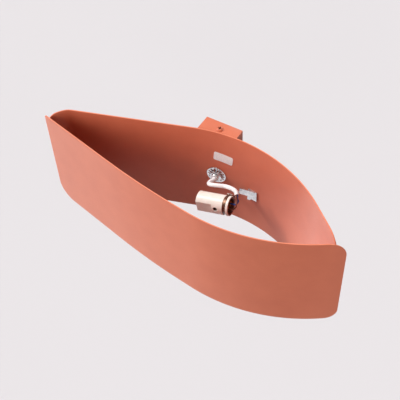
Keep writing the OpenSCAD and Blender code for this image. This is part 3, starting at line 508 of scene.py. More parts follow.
for end, distance, upper in (("left", 0.0, BACK_TIP), ("right", back_length, CORNER)):
    high = np.linspace(CORNER - half_height + BEAD_SHORT, half_height - upper - BEAD_SHORT, BEAD_RINGS)
    share = np.linspace(-1, 1, BEAD_RINGS)
    thick = BEAD * (1 - share ** 12) + BEAD_RIPPLE[0] * np.sin(high * BEAD_RIPPLE[1])
    spot = on_back(np.array([[distance]]), np.zeros((1, 1)), np.full((1, 1), SHEET / 2))[0, 0, :2]
    line = np.column_stack([np.tile(spot, (len(high), 1)), high])
    rings = ringed(line, np.array([1.0, 0.0, 0.0]), np.maximum(thick, BEAD_LEAST)[:, None], 16)
    bead = skin(f"weld_bead_{end}", [crossed(rings)], "housing", coat, sharp=70)

# The wall box: one folded shell of steel sheet, open to the wall, hollowed to the shade's back, and
# welded to it. It is coated with the shade, and its folds are about as round as the sheet is thick.
BOX_EDGE = 0.5
MERGE = 2e-6
FLAT_WITHIN = math.radians(0.3)
FOLD_OVER = math.radians(35)


def softened(node, name, ease, body, material, segments=3):
    """A copy of a CAD piece with its doubles merged and its flat faces joined, and with every edge
    rounded by that many millimetres. It stands for the piece."""
    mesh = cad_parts[node].data.copy()
    mesh.materials.clear()
    shape = bmesh.new()
    shape.from_mesh(mesh)
    bmesh.ops.remove_doubles(shape, verts=shape.verts, dist=MERGE)
    bmesh.ops.dissolve_limit(shape, angle_limit=FLAT_WITHIN, verts=shape.verts, edges=shape.edges)
    shape.to_mesh(mesh)
    shape.free()
    piece = made(name, mesh, body, material, 180)
    bevel = piece.modifiers.new("eased_edges", "BEVEL")
    bevel.width = ease / 1000
    bevel.segments = segments
    bevel.limit_method = "ANGLE"
    bevel.angle_limit = FOLD_OVER
    bevel.harden_normals = True
    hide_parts(node)
    return piece


wall_box = softened("wall_box", "wall_box_shell", BOX_EDGE, "housing", coat)

# Two locking screws: coated steel, with domed heads and a cross drive painted dark as shade. They go
# through the box's top and bottom into press nuts, and their tips catch behind the wall plate's tabs.
LOCK_D = 4.0
LOCK_PITCH = 0.7
LOCK_HEAD = (7.0, 2.4)
LOCK_CROSS = (1.3, 4.6, 1.7)
# The dark red brown painted as shade into the screws' cross drives.
LOCK_DRIVE_SHADE = screen(84, 30, 22)
HEAD_SIDE_SHARE = 0.35
HEAD_DOME = 0.8
HEAD_RIM = 0.15
TIP_SHARE = 0.12
THREAD_SHARE = 0.3
DRIVE_EASE = 0.12


def screw_grid(shank, length, pitch, head, drive, turns=96):
    """A screw in its own frame, from its tip at -length to the top of its head. Round the shank the
    radius falls and rises once a pitch along a helix, and fades at both ends. The head swells from its
    rim to a low dome, and the drive is a dent in it: a slot right across, or a cross of that width,
    reach and depth. A screw without a head has the drive in the end of its shank."""
    head_r, head_h = (head[0] / 2, head[1]) if head else (shank / 2, 0.0)
    tip = TIP_SHARE * shank
    up = np.linspace(-length + tip, -0.02 * length, max(24, int(8 * length / pitch)))
    dome = np.linspace(1, 0, 44)
    radius = np.concatenate([[0, 0.5 * shank - tip], np.full(len(up), shank / 2)])
    height = np.concatenate([[-length, -length], up])
    if head:
        radius = np.concatenate([radius, [head_r - HEAD_RIM, head_r]])
        height = np.concatenate([height, [0.0, HEAD_RIM]])
    crown = np.sqrt(1 - HEAD_DOME * dome ** 2)
    side = HEAD_SIDE_SHARE * head_h
    radius = np.concatenate([radius, head_r * np.sin(dome * math.pi / 2) ** 0.9])
    height = np.concatenate([height, side + (head_h - side) * (crown - crown[0]) / (1 - crown[0])])
    angle = np.linspace(0, 2 * math.pi, turns + 1)
    radius = radius[:, None] + 0 * angle
    height = height[:, None] + 0 * angle
    fade = np.clip((height + length - tip) / pitch, 0, 1) * np.clip(-height / pitch, 0, 1)
    on_shank = (np.arange(len(radius)) > 1)[:, None] & (height < 0)
    groove = 1 - np.cos(2 * math.pi * height / pitch - angle)
    radius = radius - on_shank * fade * THREAD_SHARE * pitch * groove
    x = radius * np.cos(angle)
    y = radius * np.sin(angle)
    if drive[0] == "cross":
        cut = np.maximum(np.minimum(drive[1] / 2 - abs(x), drive[2] / 2 - abs(y)),
                         np.minimum(drive[1] / 2 - abs(y), drive[2] / 2 - abs(x)))
    else:
        cut = drive[1] / 2 - abs(x)
    top = (np.arange(len(radius)) >= len(radius) - len(dome))[:, None]
    height = height - top * drive[3] * np.clip(cut / DRIVE_EASE + 0.5, 0, 1)
    return np.stack([x, y, height], -1)


def set_in(grid, origin, axes):
    """A grid of a piece's own frame put into the light's frame: a place and three directions."""
    return np.asarray(origin) + grid @ np.asarray(axes, float)


lock_low, lock_high = box_of("lock_screw_top")
lock_out = -(lock_low[1] + lock_high[1]) / 2
lock_length = half_height - lock_low[2]
lock_grid, lock_plain = (screw_grid(LOCK_D, lock_length, LOCK_PITCH, LOCK_HEAD, ("cross", *cross), 128)
                         for cross in (LOCK_CROSS, (0.0, 0.0, 0.0)))
# How deep the drive is cut marks where the coat takes the painted shade.
lock_drive_shade = np.clip((lock_plain - lock_grid)[..., 2] / 0.5, 0, 1)
coat_on_screws = powder_coat("terracotta_coat_on_screws", LOCK_DRIVE_SHADE)
for end, up in (("top", 1), ("bottom", -1)):
    axes = ((1, 0, 0), (0, 1, 0), (0, 0, up))
    grid = set_in(lock_grid, (0, -lock_out, up * half_height), axes)
    screw = skin(f"locking_screw_{end}", [grid], f"{end}_screw", coat_on_screws, sharp=50,
                 marks=[lock_drive_shade])
    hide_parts(f"lock_screw_{end}")

# The wall plate and the press nuts: a strap of zinc plated steel sheet, stamped with two slots and a
# cable hole and folded at its ends, which is screwed to the wall, and two turned steel nuts that are
# pressed into the box for the locking screws.
ZINC = screen(236, 238, 240)
ZINC_DULL = screen(206, 209, 213)


def clouded(name, tints, blotch, grain, gloss, depth, metal=0.0, stretch=(1, 1, 1)):
    """A finish whose colour drifts from one tint to the other in clouds, and whose grain moves its
    roughness and bends its normal. Clouds and grain have a size and a detail, depth also a strength."""
    material, tree, shader, place = shaded(name, tints[1], gloss[1], metal)
    tinted(tree, cloud(tree, place, *blotch), *tints, shader.inputs["Base Color"])
    fine = cloud(tree, place, *grain, stretch)
    ranged(tree, fine, *gloss, shader.inputs["Roughness"])
    relief(tree, shader, fine, *depth)
    return material, shader


def zinc_plate(name, stretch=(1, 1, 1)):
    """Bright zinc on steel: clouded passivation, fine scratches along one way, and a soft gloss."""
    return clouded(name, (ZINC_DULL, ZINC), (5.0, 4.0), (0.5, 3.0), (0.16, 0.34), (0.015, 0.5), 1.0,
                   stretch)[0]


rolled_zinc = zinc_plate("rolled_zinc_plate", (1, 1, 0.08))
barrel_zinc = zinc_plate("barrel_zinc_plate")
plate = softened("wall_plate", "wall_strap", 0.25, "wall_side", rolled_zinc)
nuts = softened("press_nuts", "press_nut_pair", 0.2, "housing", barrel_zinc)

# The plate's earth screw: turned brass, with a slotted domed head. It goes through the wall plate, and
# the supply cable's earth core is clamped under it.
EARTH_SCREW = (4.0, 0.7)
EARTH_HEAD = (7.5, 2.4)
BRASS = screen(205, 168, 96)
BRASS_DULL = screen(160, 122, 66)


def turned_brass(name):
    """Turned brass: dulled in clouds, with a fine wear that breaks its gloss."""
    return clouded(name, (BRASS_DULL, BRASS), (2.5, 4.0), (0.35, 3.0), (0.22, 0.42), (0.01, 0.5), 1.0)[0]


brass = turned_brass("turned_brass")
low, high = box_of("plate_earth_screw")
middle = (low + high) / 2
earth_seat = low[1] + EARTH_HEAD[1]
axes = ((1, 0, 0), (0, 0, 1), (0, -1, 0))
grid = screw_grid(EARTH_SCREW[0], high[1] - earth_seat, EARTH_SCREW[1], EARTH_HEAD, ("slot", 1.0, 0, 1.1))
earth_screw = skin("earth_screw", [set_in(grid, (middle[0], earth_seat, middle[2]), axes)],
                   "wall_side", brass, sharp=50)
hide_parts("plate_earth_screw")

# The nipple and its two nuts: a hollow M10 tube of zinc plated steel, threaded all along, through the
# shade and the box, with a hexagon nut on each side. The lead comes out through it. In its frame the
# first direction runs to the wall from the shade's inner face.
NIPPLE_BORE = 7.2
NIPPLE_PITCH = 1.0
WASHER_D = 24.0
WASHER_T = 1.0
WASHER_TEETH = 14
NUT_AF = 14.0
NUT_T = 3.0
NUT_SPARE = 1.6
NUT_CONE = (0.15, 1.7)
NUT_TURNS = 144
TUBE_RINGS = 150
TUBE_TURNS = 96
THREAD_DEEP = 0.35
THREAD_EASE = 0.8
BOX_SHEET = 1.2
TAG_T = 0.6
SLIP = 0.05


def strip_frame(x, z):
    """The place on the shade's inner face at x and z, and the directions to the wall, along and up."""
    turn = peak_angle(x)
    out = np.array([math.cos(turn + math.pi / 2), math.sin(turn + math.pi / 2), 0.0])
    place = np.append(peak_centre, 0) + inner_r * out + [0, 0, z]
    return place, (out, np.array([math.cos(turn), math.sin(turn), 0.0]), np.array([0.0, 0.0, 1.0]))


def spun(depth, radius, count):
    """A profile of depths and radii turned once round the first direction. Both may vary with angle."""
    angle = np.linspace(0, 2 * math.pi, count + 1)
    depth = np.asarray(depth, float)
    radius = np.asarray(radius, float)
    depth = depth[:, None] if depth.ndim == 1 else depth
    radius = radius[:, None] if radius.ndim == 1 else radius
    return np.stack(np.broadcast_arrays(depth, radius * np.cos(angle), radius * np.sin(angle)), -1)


def eased(points, ease, step):
    """A closed profile with its corners rounded over a short run and its sides cut into steps."""
    points = np.array(points, float)
    back = np.roll(points, 1, axis=0) - points
    on = np.roll(points, -1, axis=0) - points
    short = np.minimum(np.linalg.norm(back, axis=1), np.linalg.norm(on, axis=1))
    trim = np.minimum(ease, 0.45 * short)[:, None]
    a = points + back / np.linalg.norm(back, axis=1, keepdims=True) * trim
    b = points + on / np.linalg.norm(on, axis=1, keepdims=True) * trim
    t = np.linspace(0, 1, 6)[:, None, None]
    turns = (1 - t) ** 2 * a + 2 * t * (1 - t) * points + t ** 2 * b
    runs = []
    for i in range(len(points)):
        start, stop = turns[-1, i], turns[0, (i + 1) % len(points)]
        pieces = max(2, math.ceil(np.linalg.norm(stop - start) / step) + 1)
        runs.append(np.concatenate([turns[:, i], np.linspace(start, stop, pieces)[1:-1]]))
    return np.concatenate(runs + [turns[:1, 0]])


def nut_grid(near, bore, flats, thick):
    """A hexagon nut from depth near to near plus thick. Round it the radius is that of the hexagon,
    cut by a flat cone towards each face."""
    angle = np.linspace(0, 2 * math.pi, NUT_TURNS + 1)
    hexagon = flats / 2 / np.cos(np.mod(angle, math.pi / 3) - math.pi / 6)
    depth = np.concatenate([np.zeros(6), np.linspace(0, thick, 22), np.full(6, thick), [0.0]])
    share = np.concatenate([np.linspace(0, 1, 6), np.ones(22), np.linspace(1, 0, 6), [0.0]])
    cone = flats / 2 - NUT_CONE[0] + NUT_CONE[1] * np.minimum(depth, thick - depth)
    outer = np.minimum(hexagon, cone[:, None])
    return spun(near + depth, bore / 2 + share[:, None] * (outer - bore / 2), NUT_TURNS)


nipple_place = strip_frame(NIPPLE_X, NIPPLE_Z)
washer_gap = inner_r - math.sqrt(inner_r ** 2 - WASHER_D ** 2 / 4)
washer_back = -washer_gap - SLIP
shade_nut_back = washer_back - WASHER_T
nipple_tip = shade_nut_back - NUT_T - NUT_SPARE
box_inner = SHEET + SEAM + BOX_SHEET
box_nut_front = box_inner + SEAM + TAG_T + SEAM
nipple_end = box_nut_front + NUT_T + NUT_SPARE / 2
tube_run = np.linspace(nipple_tip, nipple_end, TUBE_RINGS)
thread_fade = np.clip(np.minimum(tube_run - nipple_tip, nipple_end - tube_run) / THREAD_EASE, 0, 1)[:, None]
thread_angle = np.linspace(0, 2 * math.pi, TUBE_TURNS + 1)
crest = np.clip(0.5 + 0.9 * np.cos(2 * math.pi * tube_run[:, None] / NIPPLE_PITCH - thread_angle), 0, 1)
outside = NIPPLE_D / 2 - THREAD_DEEP + thread_fade * THREAD_DEEP * crest
inside = np.full((2, TUBE_TURNS + 1), NIPPLE_BORE / 2)
tube_depth = np.concatenate([tube_run, [nipple_end, nipple_tip, nipple_tip]])
grid = spun(tube_depth, np.concatenate([outside, inside, outside[:1]]), TUBE_TURNS)
nipple = skin("threaded_nipple", [set_in(grid, *nipple_place)], "housing", barrel_zinc, sharp=45)
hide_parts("nipple")
for name, node, near in (("shade_nut", "shade_lock_nut", shade_nut_back - NUT_T),
                         ("box_nut", "box_lock_nut", box_nut_front)):
    grid = set_in(nut_grid(near, NIPPLE_D + 2 * SLIP, NUT_AF, NUT_T), *nipple_place)
    nut = skin(name, [grid], "housing", barrel_zinc, sharp=35)
    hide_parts(node)

# The toothed washer: zinc plated spring steel, stamped with a ring of windows. Each bar between two
# windows is twisted, so that its edges bite when the nut clamps it to the shade.
WASHER_SHARE = 0.6
WASHER_EDGE = 0.12
WINDOW = (6.5, 10.5, 1.5)
TWIST = 0.32
TOOTH_ROWS = 11
RIM_ROWS = 3
BAR_STEPS = 8
GAP_STEPS = 4


def washer_grid():
    """One flat sheet of rings and spokes. Between the windows' inner and outer radius the spokes close
    up beside each window so that it is as wide all along, and there a bar's two sides stand above and
    below the sheet, most at its middle."""
    ring = np.concatenate([np.linspace(NIPPLE_D / 2 + SLIP, WINDOW[0], RIM_ROWS + 1),
                           np.linspace(WINDOW[0], WINDOW[1], TOOTH_ROWS + 1)[1:],
                           np.linspace(WINDOW[1], WASHER_D / 2, RIM_ROWS + 1)[1:]])
    across = np.concatenate([np.linspace(0, 1, BAR_STEPS + 1), np.linspace(1, 2, GAP_STEPS + 1)[1:]])
    half_window = np.arcsin(WINDOW[2] / 2 / np.clip(ring, WINDOW[0], WINDOW[1]))[:, None]
    period = 2 * math.pi / WASHER_TEETH
    bar = np.clip(across, 0, 1)
    gap = np.clip(across - 1, 0, 1)
    spoke = half_window + bar * (period - 2 * half_window) + gap * 2 * half_window
    angle = np.concatenate([spoke[:, :-1] + i * period for i in range(WASHER_TEETH)]
                           + [spoke[:, :1] + 2 * math.pi], 1)
    bump = np.sin(math.pi * np.clip((ring - WINDOW[0]) / (WINDOW[1] - WINDOW[0]), 0, 1))[:, None]
    lean = np.where(across <= 1, 2 * bar - 1, 0.0)
    lift = TWIST * bump * np.append(np.tile(lean[:-1], WASHER_TEETH), lean[0])
    keep = np.ones((len(ring) - 1, angle.shape[1] - 1), bool)
    hollow = np.tile(np.arange(BAR_STEPS + GAP_STEPS) >= BAR_STEPS, WASHER_TEETH)
    keep[RIM_ROWS:RIM_ROWS + TOOTH_ROWS, hollow] = False
    middle = washer_back - WASHER_T / 2
    return np.stack([middle + lift, ring[:, None] * np.cos(angle), ring[:, None] * np.sin(angle)], -1), keep


grid, keep = washer_grid()
washer = skin("toothed_washer", [set_in(grid, *nipple_place)], "housing", barrel_zinc, keeps=[keep])
thicken = washer.modifiers.new("sheet", "SOLIDIFY")
thicken.thickness = WASHER_SHARE * WASHER_T / 1000
thicken.offset = 0.0
round_off = washer.modifiers.new("eased_edges", "BEVEL")
round_off.width = WASHER_EDGE / 1000
round_off.segments = 2
round_off.limit_method = "ANGLE"
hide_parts("tooth_washer")

# The earth tag: a ring stamped from zinc plated sheet, with a crimped barrel for the earth lead. It is
# clamped under the nut in the box.
tag = softened("earth_tag", "earth_ring_tag", 0.12, "housing", barrel_zinc)

# The bush: a short flanged tube of moulded white nylon, pushed into the nipple's mouth. It keeps the
# nipple's edge off the lead.
BUSH_WHITE = screen(246, 246, 244)
BUSH_WALL = (5.3, 7.1, 9.0)
BUSH_FLANGE = 0.8
BUSH_LENGTH = 6.0
BUSH_EASE = 0.3
BUSH_STEP = 0.4


def moulded_nylon(name, colour, shade):
    """Moulded white plastic: slightly waxy, with flow clouds and a faint spark eroded grain."""
    material, shader = clouded(name, (shade, colour), (6.0, 2.0), (0.3, 2.0), (0.36, 0.5), (0.012, 0.4))
    shader.inputs["Subsurface Weight"].default_value = 0.08
    shader.inputs["Subsurface Scale"].default_value = 0.001
    return material


nylon = moulded_nylon("moulded_white_nylon", BUSH_WHITE, screen(236, 235, 231))
bush_bore, bush_neck, bush_rim = (d / 2 for d in BUSH_WALL)
bush_front = nipple_tip - BUSH_FLANGE
bush_back = nipple_tip + BUSH_LENGTH
bush_profile = eased([(bush_front, bush_bore), (bush_front, bush_rim), (nipple_tip, bush_rim),
                      (nipple_tip, bush_neck), (bush_back, bush_neck), (bush_back, bush_bore)],
                     BUSH_EASE, BUSH_STEP)
grid = spun(bush_profile[:, 0], bush_profile[:, 1], 72)
bush = skin("nipple_mouth_bush", [set_in(grid, *nipple_place)], "housing", nylon, sharp=50)
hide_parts("nipple_bush")

# The lead: two wires with silicone insulation in a woven glass fibre sleeve, from the box through the
# nipple and in a loose bow to the rear of the lampholder, and the earth lead in the box. The points are
# those of the part's routes, in millimetres, from the nipple's tip and in the lampholder's frame.
HOLDER_MIDDLE = np.array([32.6, -51.6, -4.2])
HOLDER_TURN = math.radians(9.0)
HOLDER_RISE = math.radians(8.5)
SLEEVE_D = 5.2
SLEEVE_WALL = 0.4
SLEEVE_FLARE = (0.12, 0.8)
STRANDS = 12.0
STRAND_PITCH = 1.1
WIRE_D = 2.0
LEAD_AT_NIPPLE = ((0, 5, 0), (0, 1.5, 0), (0, -1.8, 0), (-0.8, -4.2, -0.1), (-2.8, -8.3, 0.4),
                  (-2.5, -12.1, 1.6), (0.4, -15.1, 4.3), (8.5, -16, 6.8), (18.7, -14.7, 7.7))
LEAD_AT_HOLDER = ((-1.4, 16.1, 13.2), (4.9, 13.7, 13.8), (8.7, 11.4, 13.1), (10.6, 8.2, 11.7))
WIRE_AT_NUT = ((8, 3, 15), (2.4, 4, 7.5), (1.1, 2, 2))
LIVE_AT_HOLDER = ((12, 3.4, 8.4), (12.2, -2, 3.4), (8.6, -4.3, -0.6))
NEUTRAL_AT_HOLDER = ((11.6, 6.4, 8), (12, 6.4, 3.4), (8.6, 4.3, -0.6))
TERMINAL_RUN = (2.6, -0.85)
TERMINAL_SIDE = 4.3
TERMINAL_HEIGHT = -0.6
BLOCK_X = 0.0
BLOCK_POLE = 10.0
BLOCK_H = 15.0
BLOCK_DEEP = 10.0
BLOCK_ENTRY = (-BLOCK_H / 4, -BLOCK_H / 2, -BLOCK_H / 2 - WIRE_D)
SLEEVE_STEPS = 16
SLEEVE_TURNS = 48
WIRE_STEPS = 12
EARTH_STEPS = 14
WIRE_TURNS = 20
WIRE_BACK = 1.0
TAG_OUT = 9.0
EARTH_BOW = 14.0
INSULATION = {"live": screen(112, 52, 26), "neutral": screen(24, 88, 190), "earth": screen(96, 150, 62)}
holder_flat = np.array([math.cos(HOLDER_TURN), math.sin(HOLDER_TURN), 0.0])
holder_upright = np.array([0.0, 0.0, 1.0])
holder_axes = (math.cos(HOLDER_RISE) * holder_flat + math.sin(HOLDER_RISE) * holder_upright,
               np.array([-math.sin(HOLDER_TURN), math.cos(HOLDER_TURN), 0.0]),
               math.cos(HOLDER_RISE) * holder_upright - math.sin(HOLDER_RISE) * holder_flat)
holder_frame = (HOLDER_MIDDLE, holder_axes)
block_low, block_high = box_of("terminal_block")
block_place = strip_frame(BLOCK_X, (block_low[2] + block_high[2]) / 2)
block_front = box_inner + SEAM
block_hole = block_front + BLOCK_DEEP / 2


def on_strip(points, place):
    """Points given along the strip, towards the wall and up, in the light's frame."""
    points = np.asarray(points, float)
    return set_in(points[:, [1, 0, 2]], *place)


def smooth_line(points, pieces):
    """A line through chosen points. Between two of them it is the cubic whose slope at each point is
    that from the point before to the point after."""
    points = np.asarray(points, float)
    far = np.concatenate([points[:1], points, points[-1:]])
    a, b, c, d = far[:-3, None], far[1:-2, None], far[2:-1, None], far[3:, None]
    t = (np.arange(pieces) / pieces)[:, None]
    cubic = 0.5 * (2 * b + (c - a) * t + (2 * a - 5 * b + 4 * c - d) * t ** 2
                   + (3 * b - a - 3 * c + d) * t ** 3)
    return np.concatenate([cubic.reshape(-1, 3), points[-1:]])


def moved_aside(line, side, by):
    """The line moved sideways, with its side vector carried along it."""
    return ringed(line, side, by, 4)[:, 0]


def reckoned(tree, operation, *values):
    """One step of arithmetic on numbers and on the values that sockets give."""
    step = tree.nodes.new("ShaderNodeMath")
    step.operation = operation
    for socket, value in zip(step.inputs, values):
        if isinstance(value, float):
            socket.default_value = value
        else:
            tree.links.new(value, socket)
    return step.outputs[0]


def glass_fibre(name):
    """Woven glass fibre under a thin varnish: two families of strands wind round the sleeve against
    each other, and show as a fine lattice with a little painted shade in its dips."""
    material, tree, shader, _ = shaded(name, screen(250, 251, 252), 0.5)
    around = tree.nodes.new("ShaderNodeUVMap")
    around.uv_map = "run"
    parted = tree.nodes.new("ShaderNodeSeparateXYZ")
    tree.links.new(around.outputs["UV"], parted.inputs["Vector"])
    families = []
    for way in (STRANDS, -STRANDS):
        wound = reckoned(tree, "MULTIPLY", parted.outputs["Y"], 2 * math.pi * way)
        gone = reckoned(tree, "MULTIPLY_ADD", parted.outputs["X"], 2 * math.pi / STRAND_PITCH, wound)
        families.append(reckoned(tree, "SINE", gone))
    over = reckoned(tree, "MAXIMUM", *families)
    # Painted shade: the lattice's dips take the slightly darker tint.
    tinted(tree, over, screen(238, 240, 243), screen(253, 254, 255), shader.inputs["Base Color"], 0.0, 0.9)
    ranged(tree, over, 0.7, 0.45, shader.inputs["Roughness"], -0.5, 1.0)
    shader.inputs["Sheen Weight"].default_value = 0.2
    relief(tree, shader, over, 0.06, 0.3)
    return material


def insulation(name, colour):
    """Silicone insulation: one soft colour with a dusty bloom."""
    material, tree, shader, place = shaded(name, colour, 0.5)
    bloom = tuple(0.82 * c + 0.1 for c in colour)
    dust = cloud(tree, place, 1.6, 3.0)
    tinted(tree, dust, colour, bloom, shader.inputs["Base Color"], 0.35, 0.9)
    ranged(tree, dust, 0.42, 0.6, shader.inputs["Roughness"])
    relief(tree, shader, cloud(tree, place, 0.25, 1.0), 0.008, 0.4)
    return material


nipple_shift = np.array([0, nipple_tip, 0])
sleeve_route = np.concatenate([on_strip(np.array(LEAD_AT_NIPPLE) + nipple_shift, nipple_place),
                               set_in(np.array(LEAD_AT_HOLDER), *holder_frame)])
sleeve_line = smooth_line(sleeve_route, SLEEVE_STEPS)
gone = np.concatenate([[0], np.cumsum(np.linalg.norm(np.diff(sleeve_line, axis=0), axis=1))])
flare = SLEEVE_FLARE[0] * np.exp(-np.minimum(gone, gone[-1] - gone) / SLEEVE_FLARE[1])
flat_side = np.array([1.0, 0.0, 0.0])
sleeve_r = (SLEEVE_D / 2 - SLEEVE_FLARE[0] + flare)[:, None]
outer = ringed(sleeve_line, flat_side, sleeve_r, SLEEVE_TURNS)
inner = ringed(sleeve_line, flat_side, sleeve_r - SLEEVE_WALL, SLEEVE_TURNS)
around = np.linspace(0, 1, SLEEVE_TURNS + 1)
run_map = np.stack(np.broadcast_arrays(gone[:, None], around), -1)
sleeve = skin("glass_fibre_sleeve", [outer, np.concatenate([outer[:1], inner[:1]]), inner,
                                     np.concatenate([outer[-1:], inner[-1:]])],
              "housing", glass_fibre("white_glass_fibre"), sharp=60,
              maps=[run_map, run_map[:2], run_map, run_map[-2:]])
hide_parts("lead_sleeve")


def wire_line(side, last):
    """A wire's line: from its pole of the terminal block to the nipple, beside the other wire through
    nipple and sleeve, and out to its terminal in the lampholder."""
    shared = np.concatenate([on_strip([(0, nipple_end - WIRE_BACK, 0)], nipple_place), sleeve_line])
    middle = moved_aside(shared, flat_side * side, WIRE_D / 2 + SLIP)
    at_block = on_strip([(side * BLOCK_POLE, block_hole, z) for z in BLOCK_ENTRY], block_place)
    at_nut = on_strip([(side * p[0], nipple_end + p[1], p[2]) for p in WIRE_AT_NUT], nipple_place)
    ends = [(x, side * TERMINAL_SIDE, TERMINAL_HEIGHT) for x in TERMINAL_RUN]
    at_holder = set_in(np.array(list(last) + ends, float), *holder_frame)
    first = smooth_line(np.concatenate([at_block, at_nut, middle[:1]]), WIRE_STEPS)
    rest = smooth_line(np.concatenate([middle[-1:], at_holder]), WIRE_STEPS)
    return np.concatenate([first[:-1], middle, rest[1:]])


for name, slot, side, last in (("live", "brown_insulation", -1, LIVE_AT_HOLDER),
                               ("neutral", "blue_insulation", 1, NEUTRAL_AT_HOLDER)):
    rings = ringed(wire_line(side, last), flat_side * side, WIRE_D / 2, WIRE_TURNS)
    wire = skin(f"{name}_wire", [crossed(rings)], "housing", insulation(slot, INSULATION[name]), sharp=70)
    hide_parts(f"wire_{name}")
earth_depth = box_inner + SEAM + TAG_T + WIRE_D / 2 + 3 * SEAM
earth_route = np.concatenate([
    on_strip([(0, earth_depth, TAG_OUT), (0, earth_depth, EARTH_BOW)], nipple_place),
    on_strip([(0, block_hole, z) for z in reversed(BLOCK_ENTRY)], block_place)])
rings = ringed(smooth_line(earth_route, EARTH_STEPS), flat_side, WIRE_D / 2, WIRE_TURNS)
earth = skin("earth_wire", [crossed(rings)], "housing",
             insulation("green_insulation", INSULATION["earth"]), sharp=70)
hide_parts("earth_lead")

# The terminal block in the box: a moulding of white nylon on the box front, with three brass inserts,
# six clamping screws of zinc plated steel, and one screw that fixes it.
CLAMP = (2.5, 0.45)
CLAMP_ROW = 4.0
FIXING = (3.0, 0.5)
FIXING_HEAD = (5.0, 2.0)
FIXING_FLOOR = 3.5
block = softened("terminal_block", "terminal_block_moulding", 0.3, "housing", nylon)
inserts = softened("terminal_inserts", "terminal_block_inserts", 0.12, "housing", brass)
clamp_top = block_front + BLOCK_DEEP - SLIP
clamp_long = BLOCK_DEEP / 2 - WIRE_D / 2 - 2 * SLIP
out_axes = (block_place[1][1], block_place[1][2], block_place[1][0])
clamp_grid = screw_grid(CLAMP[0], clamp_long, CLAMP[1], None, ("slot", 0.55, 0, 0.7), 48)
clamps = [set_in(clamp_grid, on_strip([(pole, clamp_top, row)], block_place)[0], out_axes)
          for pole in (-BLOCK_POLE, 0.0, BLOCK_POLE) for row in (-CLAMP_ROW, CLAMP_ROW)]
clamp_screws = skin("clamping_screws", clamps, "housing", barrel_zinc, sharp=50)
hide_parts("terminal_block_screws")
fixing_seat = block_front + FIXING_FLOOR + SLIP
fixing_long = fixing_seat - SHEET - SEAM - SLIP
grid = screw_grid(FIXING[0], fixing_long, FIXING[1], FIXING_HEAD, ("slot", 0.75, 0, 0.9), 72)
grid = set_in(grid, on_strip([(BLOCK_POLE / 2, fixing_seat, 0)], block_place)[0], out_axes)
fixing = skin("block_fixing", [grid], "housing", barrel_zinc, sharp=50)
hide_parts("block_fixing_screw")

# The lampholder's body: one piece of pressed, glazed ceramic with two flats beside its mouth, a round
# hole in its side, a groove for the clip and a deep rear in which the terminals sit.
BODY_R = 11.75
BODY_LEN = 40.5
MOUTH = -35.4
BODY_EASE = 0.7
BODY_STEP = 0.26
BODY_TURNS = 224
MOUTH_BORE = 7.55
CAVITY = 9.3
MOUTH_DEPTH = 26.0
WEB = 5.0
GROOVE = (33.5, 37.3, 10.5)
FLATS = (18.3, 20.0)
FLATS_EASE = 0.8
SIDE_HOLE = (25.0, 2.45)
SIDE_HOLE_AT = math.radians(167)
SIDE_HOLE_DEEP = 3.9
SIDE_HOLE_EASE = 0.24
REAR_BROWN = 1.9
CREAM = screen(250, 246, 238)
CREAM_DEEP = screen(243, 237, 226)


def glazed_ceramic(name):
    """Cream glaze over pressed clay: glossy, a little uneven, with pale and warm clouds and a few
    specks. Where it is marked it is dark brown: painted shade in the side hole, and brown in the rear."""
    material, tree, shader, place = shaded(name, CREAM, 0.2)
    body = tree.nodes.new("ShaderNodeMix")
    body.data_type = "RGBA"
    tinted(tree, cloud(tree, place, 7.0, 3.0), CREAM_DEEP, CREAM, body.inputs["A"])
    # Dark brown: painted shade in the side hole, and the brown of the rear.
    body.inputs["B"].default_value = (*screen(88, 44, 28), 1)
    deep = tree.nodes.new("ShaderNodeAttribute")
    deep.attribute_name = "mark"
    summed = tree.nodes.new("ShaderNodeMath")
    summed.use_clamp = True
    ranged(tree, deep.outputs["Fac"], 0.0, 0.92, summed.inputs[0], 0.1, 0.3)
    ranged(tree, cloud(tree, place, 0.7, 2.0), 0.0, 0.22, summed.inputs[1], 0.66, 0.78)
    tree.links.new(summed.outputs[0], body.inputs["Factor"])
    tree.links.new(body.outputs["Result"], shader.inputs["Base Color"])
    ranged(tree, cloud(tree, place, 3.0, 2.0), 0.14, 0.28, shader.inputs["Roughness"])
    relief(tree, shader, cloud(tree, place, 2.2, 2.0), 0.06, 0.4)
    return material


